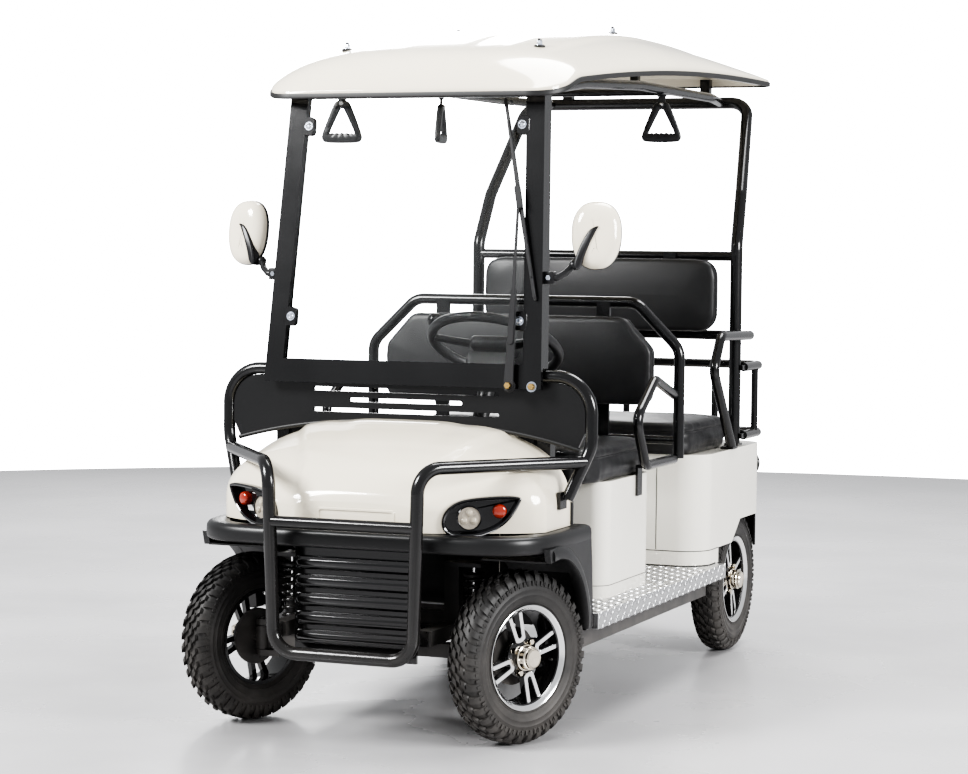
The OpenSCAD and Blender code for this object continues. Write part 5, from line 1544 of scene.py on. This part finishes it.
def box_line(half_x, y0, y1, corner, z, half_wide=0.0011):
    """A dark strip of painted gap shade along a shut line at one height round a box with round corners, as a
    thin closed band.
    """
    points, faces = [], []
    middle = (y0 + y1) / 2
    outline = [(x, y + middle) for x, y in round_plate(half_x, (y1 - y0) / 2, corner, 10)]
    n = len(outline)
    for h, by in ((z - half_wide, 0.001), (z - half_wide, -0.0006), (z + half_wide, -0.0006),
                  (z + half_wide, 0.001)):
        points += [(x, y, h) for x, y in shrunk(outline, by)]
    for k in range(4):
        faces += [(k * n + i, k * n + (i + 1) % n, (k + 1) % 4 * n + (i + 1) % n, (k + 1) % 4 * n
                   + i) for i in range(n)]
    return build("line", points, faces, shut_line)


def plinth_line(half_x, y0, y_end, corner, z, half_wide=0.0012):
    """The same, only round the front of a box as far back as y_end."""
    outline = [(x, y) for x, y in round_plate(half_x, 0.4, corner, 10) if y < 0]
    outline = [(x, y + 0.4 + y0) for x, y in [(-half_x, y_end - y0 - 0.4)] + outline
               + [(half_x, y_end - y0 - 0.4)]]
    points, faces = [], []
    for x, y in outline:
        away = Vector((x / half_x if abs(x) > half_x - corner else 0, -1 if y < y0 + corner
                       else 0)).normalized()
        for h, by in ((z - half_wide, -0.001), (z - half_wide, 0.0006), (z + half_wide, 0.0006),
                      (z + half_wide, -0.001)):
            points.append((x + away.x * by, y + away.y * by, h))
    for k in range(len(outline) - 1):
        faces += [(k * 4 + i, k * 4 + (i + 1) % 4, (k + 1) * 4 + (i + 1) % 4, (k + 1) * 4 + i)
                  for i in range(4)]
    faces += [(0, 1, 2, 3), tuple(range(len(outline) * 4 - 4, len(outline) * 4))]
    return build("line", points, faces, shut_line)


# painted shade: dark strips for the shade in the panel gaps, along the plinth and at the foot of the rear box
lines = [box_line(0.430, -0.400, -0.012, 0.046, 0.335, 0.0008),
         plinth_line(0.469, 0.374, 0.530, 0.088, 0.3455),
         plinth_line(0.469, 0.374, 0.505, 0.088, 0.3016, 0.0016),
         line_strip([(0.322, 0.374, 0.349), (0.322, 0.374, 0.598)], 0.0011, (0, -1, 0)),
         line_strip([(-0.322, 0.374, 0.349), (-0.322, 0.374, 0.598)], 0.0011, (0, -1, 0)),
         line_strip([(0.300, -0.400, 0.339), (0.300, -0.400, 0.612)], 0.0009, (0, -1, 0)),
         line_strip([(-0.300, -0.400, 0.339), (-0.300, -0.400, 0.612)], 0.0009, (0, -1, 0))]
settle(joined("box_shut_lines", *lines), "chassis", "white_panel")

lamp_red = finish("lamp_red", (0.46, 0.012, 0.010), 0.09, coat=1.0, clouds=60, shift=0.3)
tails = []
for side in (1, -1):
    lens = build("lens", *turned_form([(0.0001, -0.004), (0.0265, -0.004), (0.0265, 0.004),
                                       (0.0245, 0.0075),
                                       (0.0190, 0.0100), (0.0170, 0.0092), (0.0150, 0.0108),
                                       (0.0110, 0.0118),
                                       (0.0090, 0.0108), (0.0070, 0.0120), (0.0001, 0.0125)], 48),
                                       lamp_red, sharp=22)
    bezel = build("bezel", *turned_form([(0.0262, -0.004), (0.0305, -0.004), (0.0305, 0.0030),
                                         (0.0285, 0.0050),
                                         (0.0262, 0.0040)], 48), arm_black)
    lamp = joined("tail", lens, bezel)
    spot = Vector((side * 0.4464, 0.9989, 0.566))
    out = Vector((side * math.cos(math.radians(42)), math.sin(math.radians(42)), 0))
    placed(lamp, Matrix.Translation(spot) @ out.to_track_quat("Z", "Y").to_matrix().to_4x4())
    tails.append(lamp)
settle(joined("tail_lamp_lenses", *tails), "chassis", "lamp_red", "tail_lamps")

# ---- Springs and dampers ----
# Coil springs of round black wire stand over slim chromed rods between pressed seats.


def coil_over(name, x, y, z0, z1, node):
    turns, steps, coil_r = 7, 20, 0.024
    line = []
    for k in range(turns * steps + 1):
        t = k / (turns * steps)
        rise = ease(t) * 0.15 + t * 0.85
        line.append((x + coil_r * math.cos(math.tau * turns * t),
                     y + coil_r * math.sin(math.tau * turns * t),
                     z0 + 0.030 + (z1 - z0 - 0.060) * rise))
    wire = tube("wire", line, 0.0046, powder_black, sides=8)
    body = build("body", *turned_form([(0.0001, z0), (0.0135, z0), (0.0160, z0 + 0.006),
                                       (0.0160, z0 + 0.085),
                                       (0.0130, z0 + 0.092), (0.0065, z0 + 0.094), (0.0065, z1),
                                       (0.0001, z1)], 28),
                 axle_black, chrome, choose=lambda c, f: 1 if c.z > z0 + 0.094
                 and math.hypot(c.x, c.y) < 0.008 else 0)
    seats = [build("seat", *turned_form([(0.0001, h), (0.0270, h), (0.0280, h + 0.003),
                                         (0.0280, h + 0.006),
                                         (0.0200, h + 0.010), (0.0001, h + 0.010)], 36), axle_black)
             for h in (z0 + 0.012, z1 - 0.026)]
    for o in (body, *seats):
        o.data.transform(Matrix.Translation((x, y, 0)))
    return settle(joined(name, wire, body, *seats), "chassis", "spring_steel", *node)


for node, side_x, y, z0, z1 in (("front_dampers", 0.256, -0.912, 0.2443, 0.4397),
                                ("rear_dampers", 0.270, 0.768, 0.2523, 0.4397)):
    coil_over(node + "_left", side_x, y, z0, z1, [node])
    coil_over(node + "_right", -side_x, y, z0, z1, [])
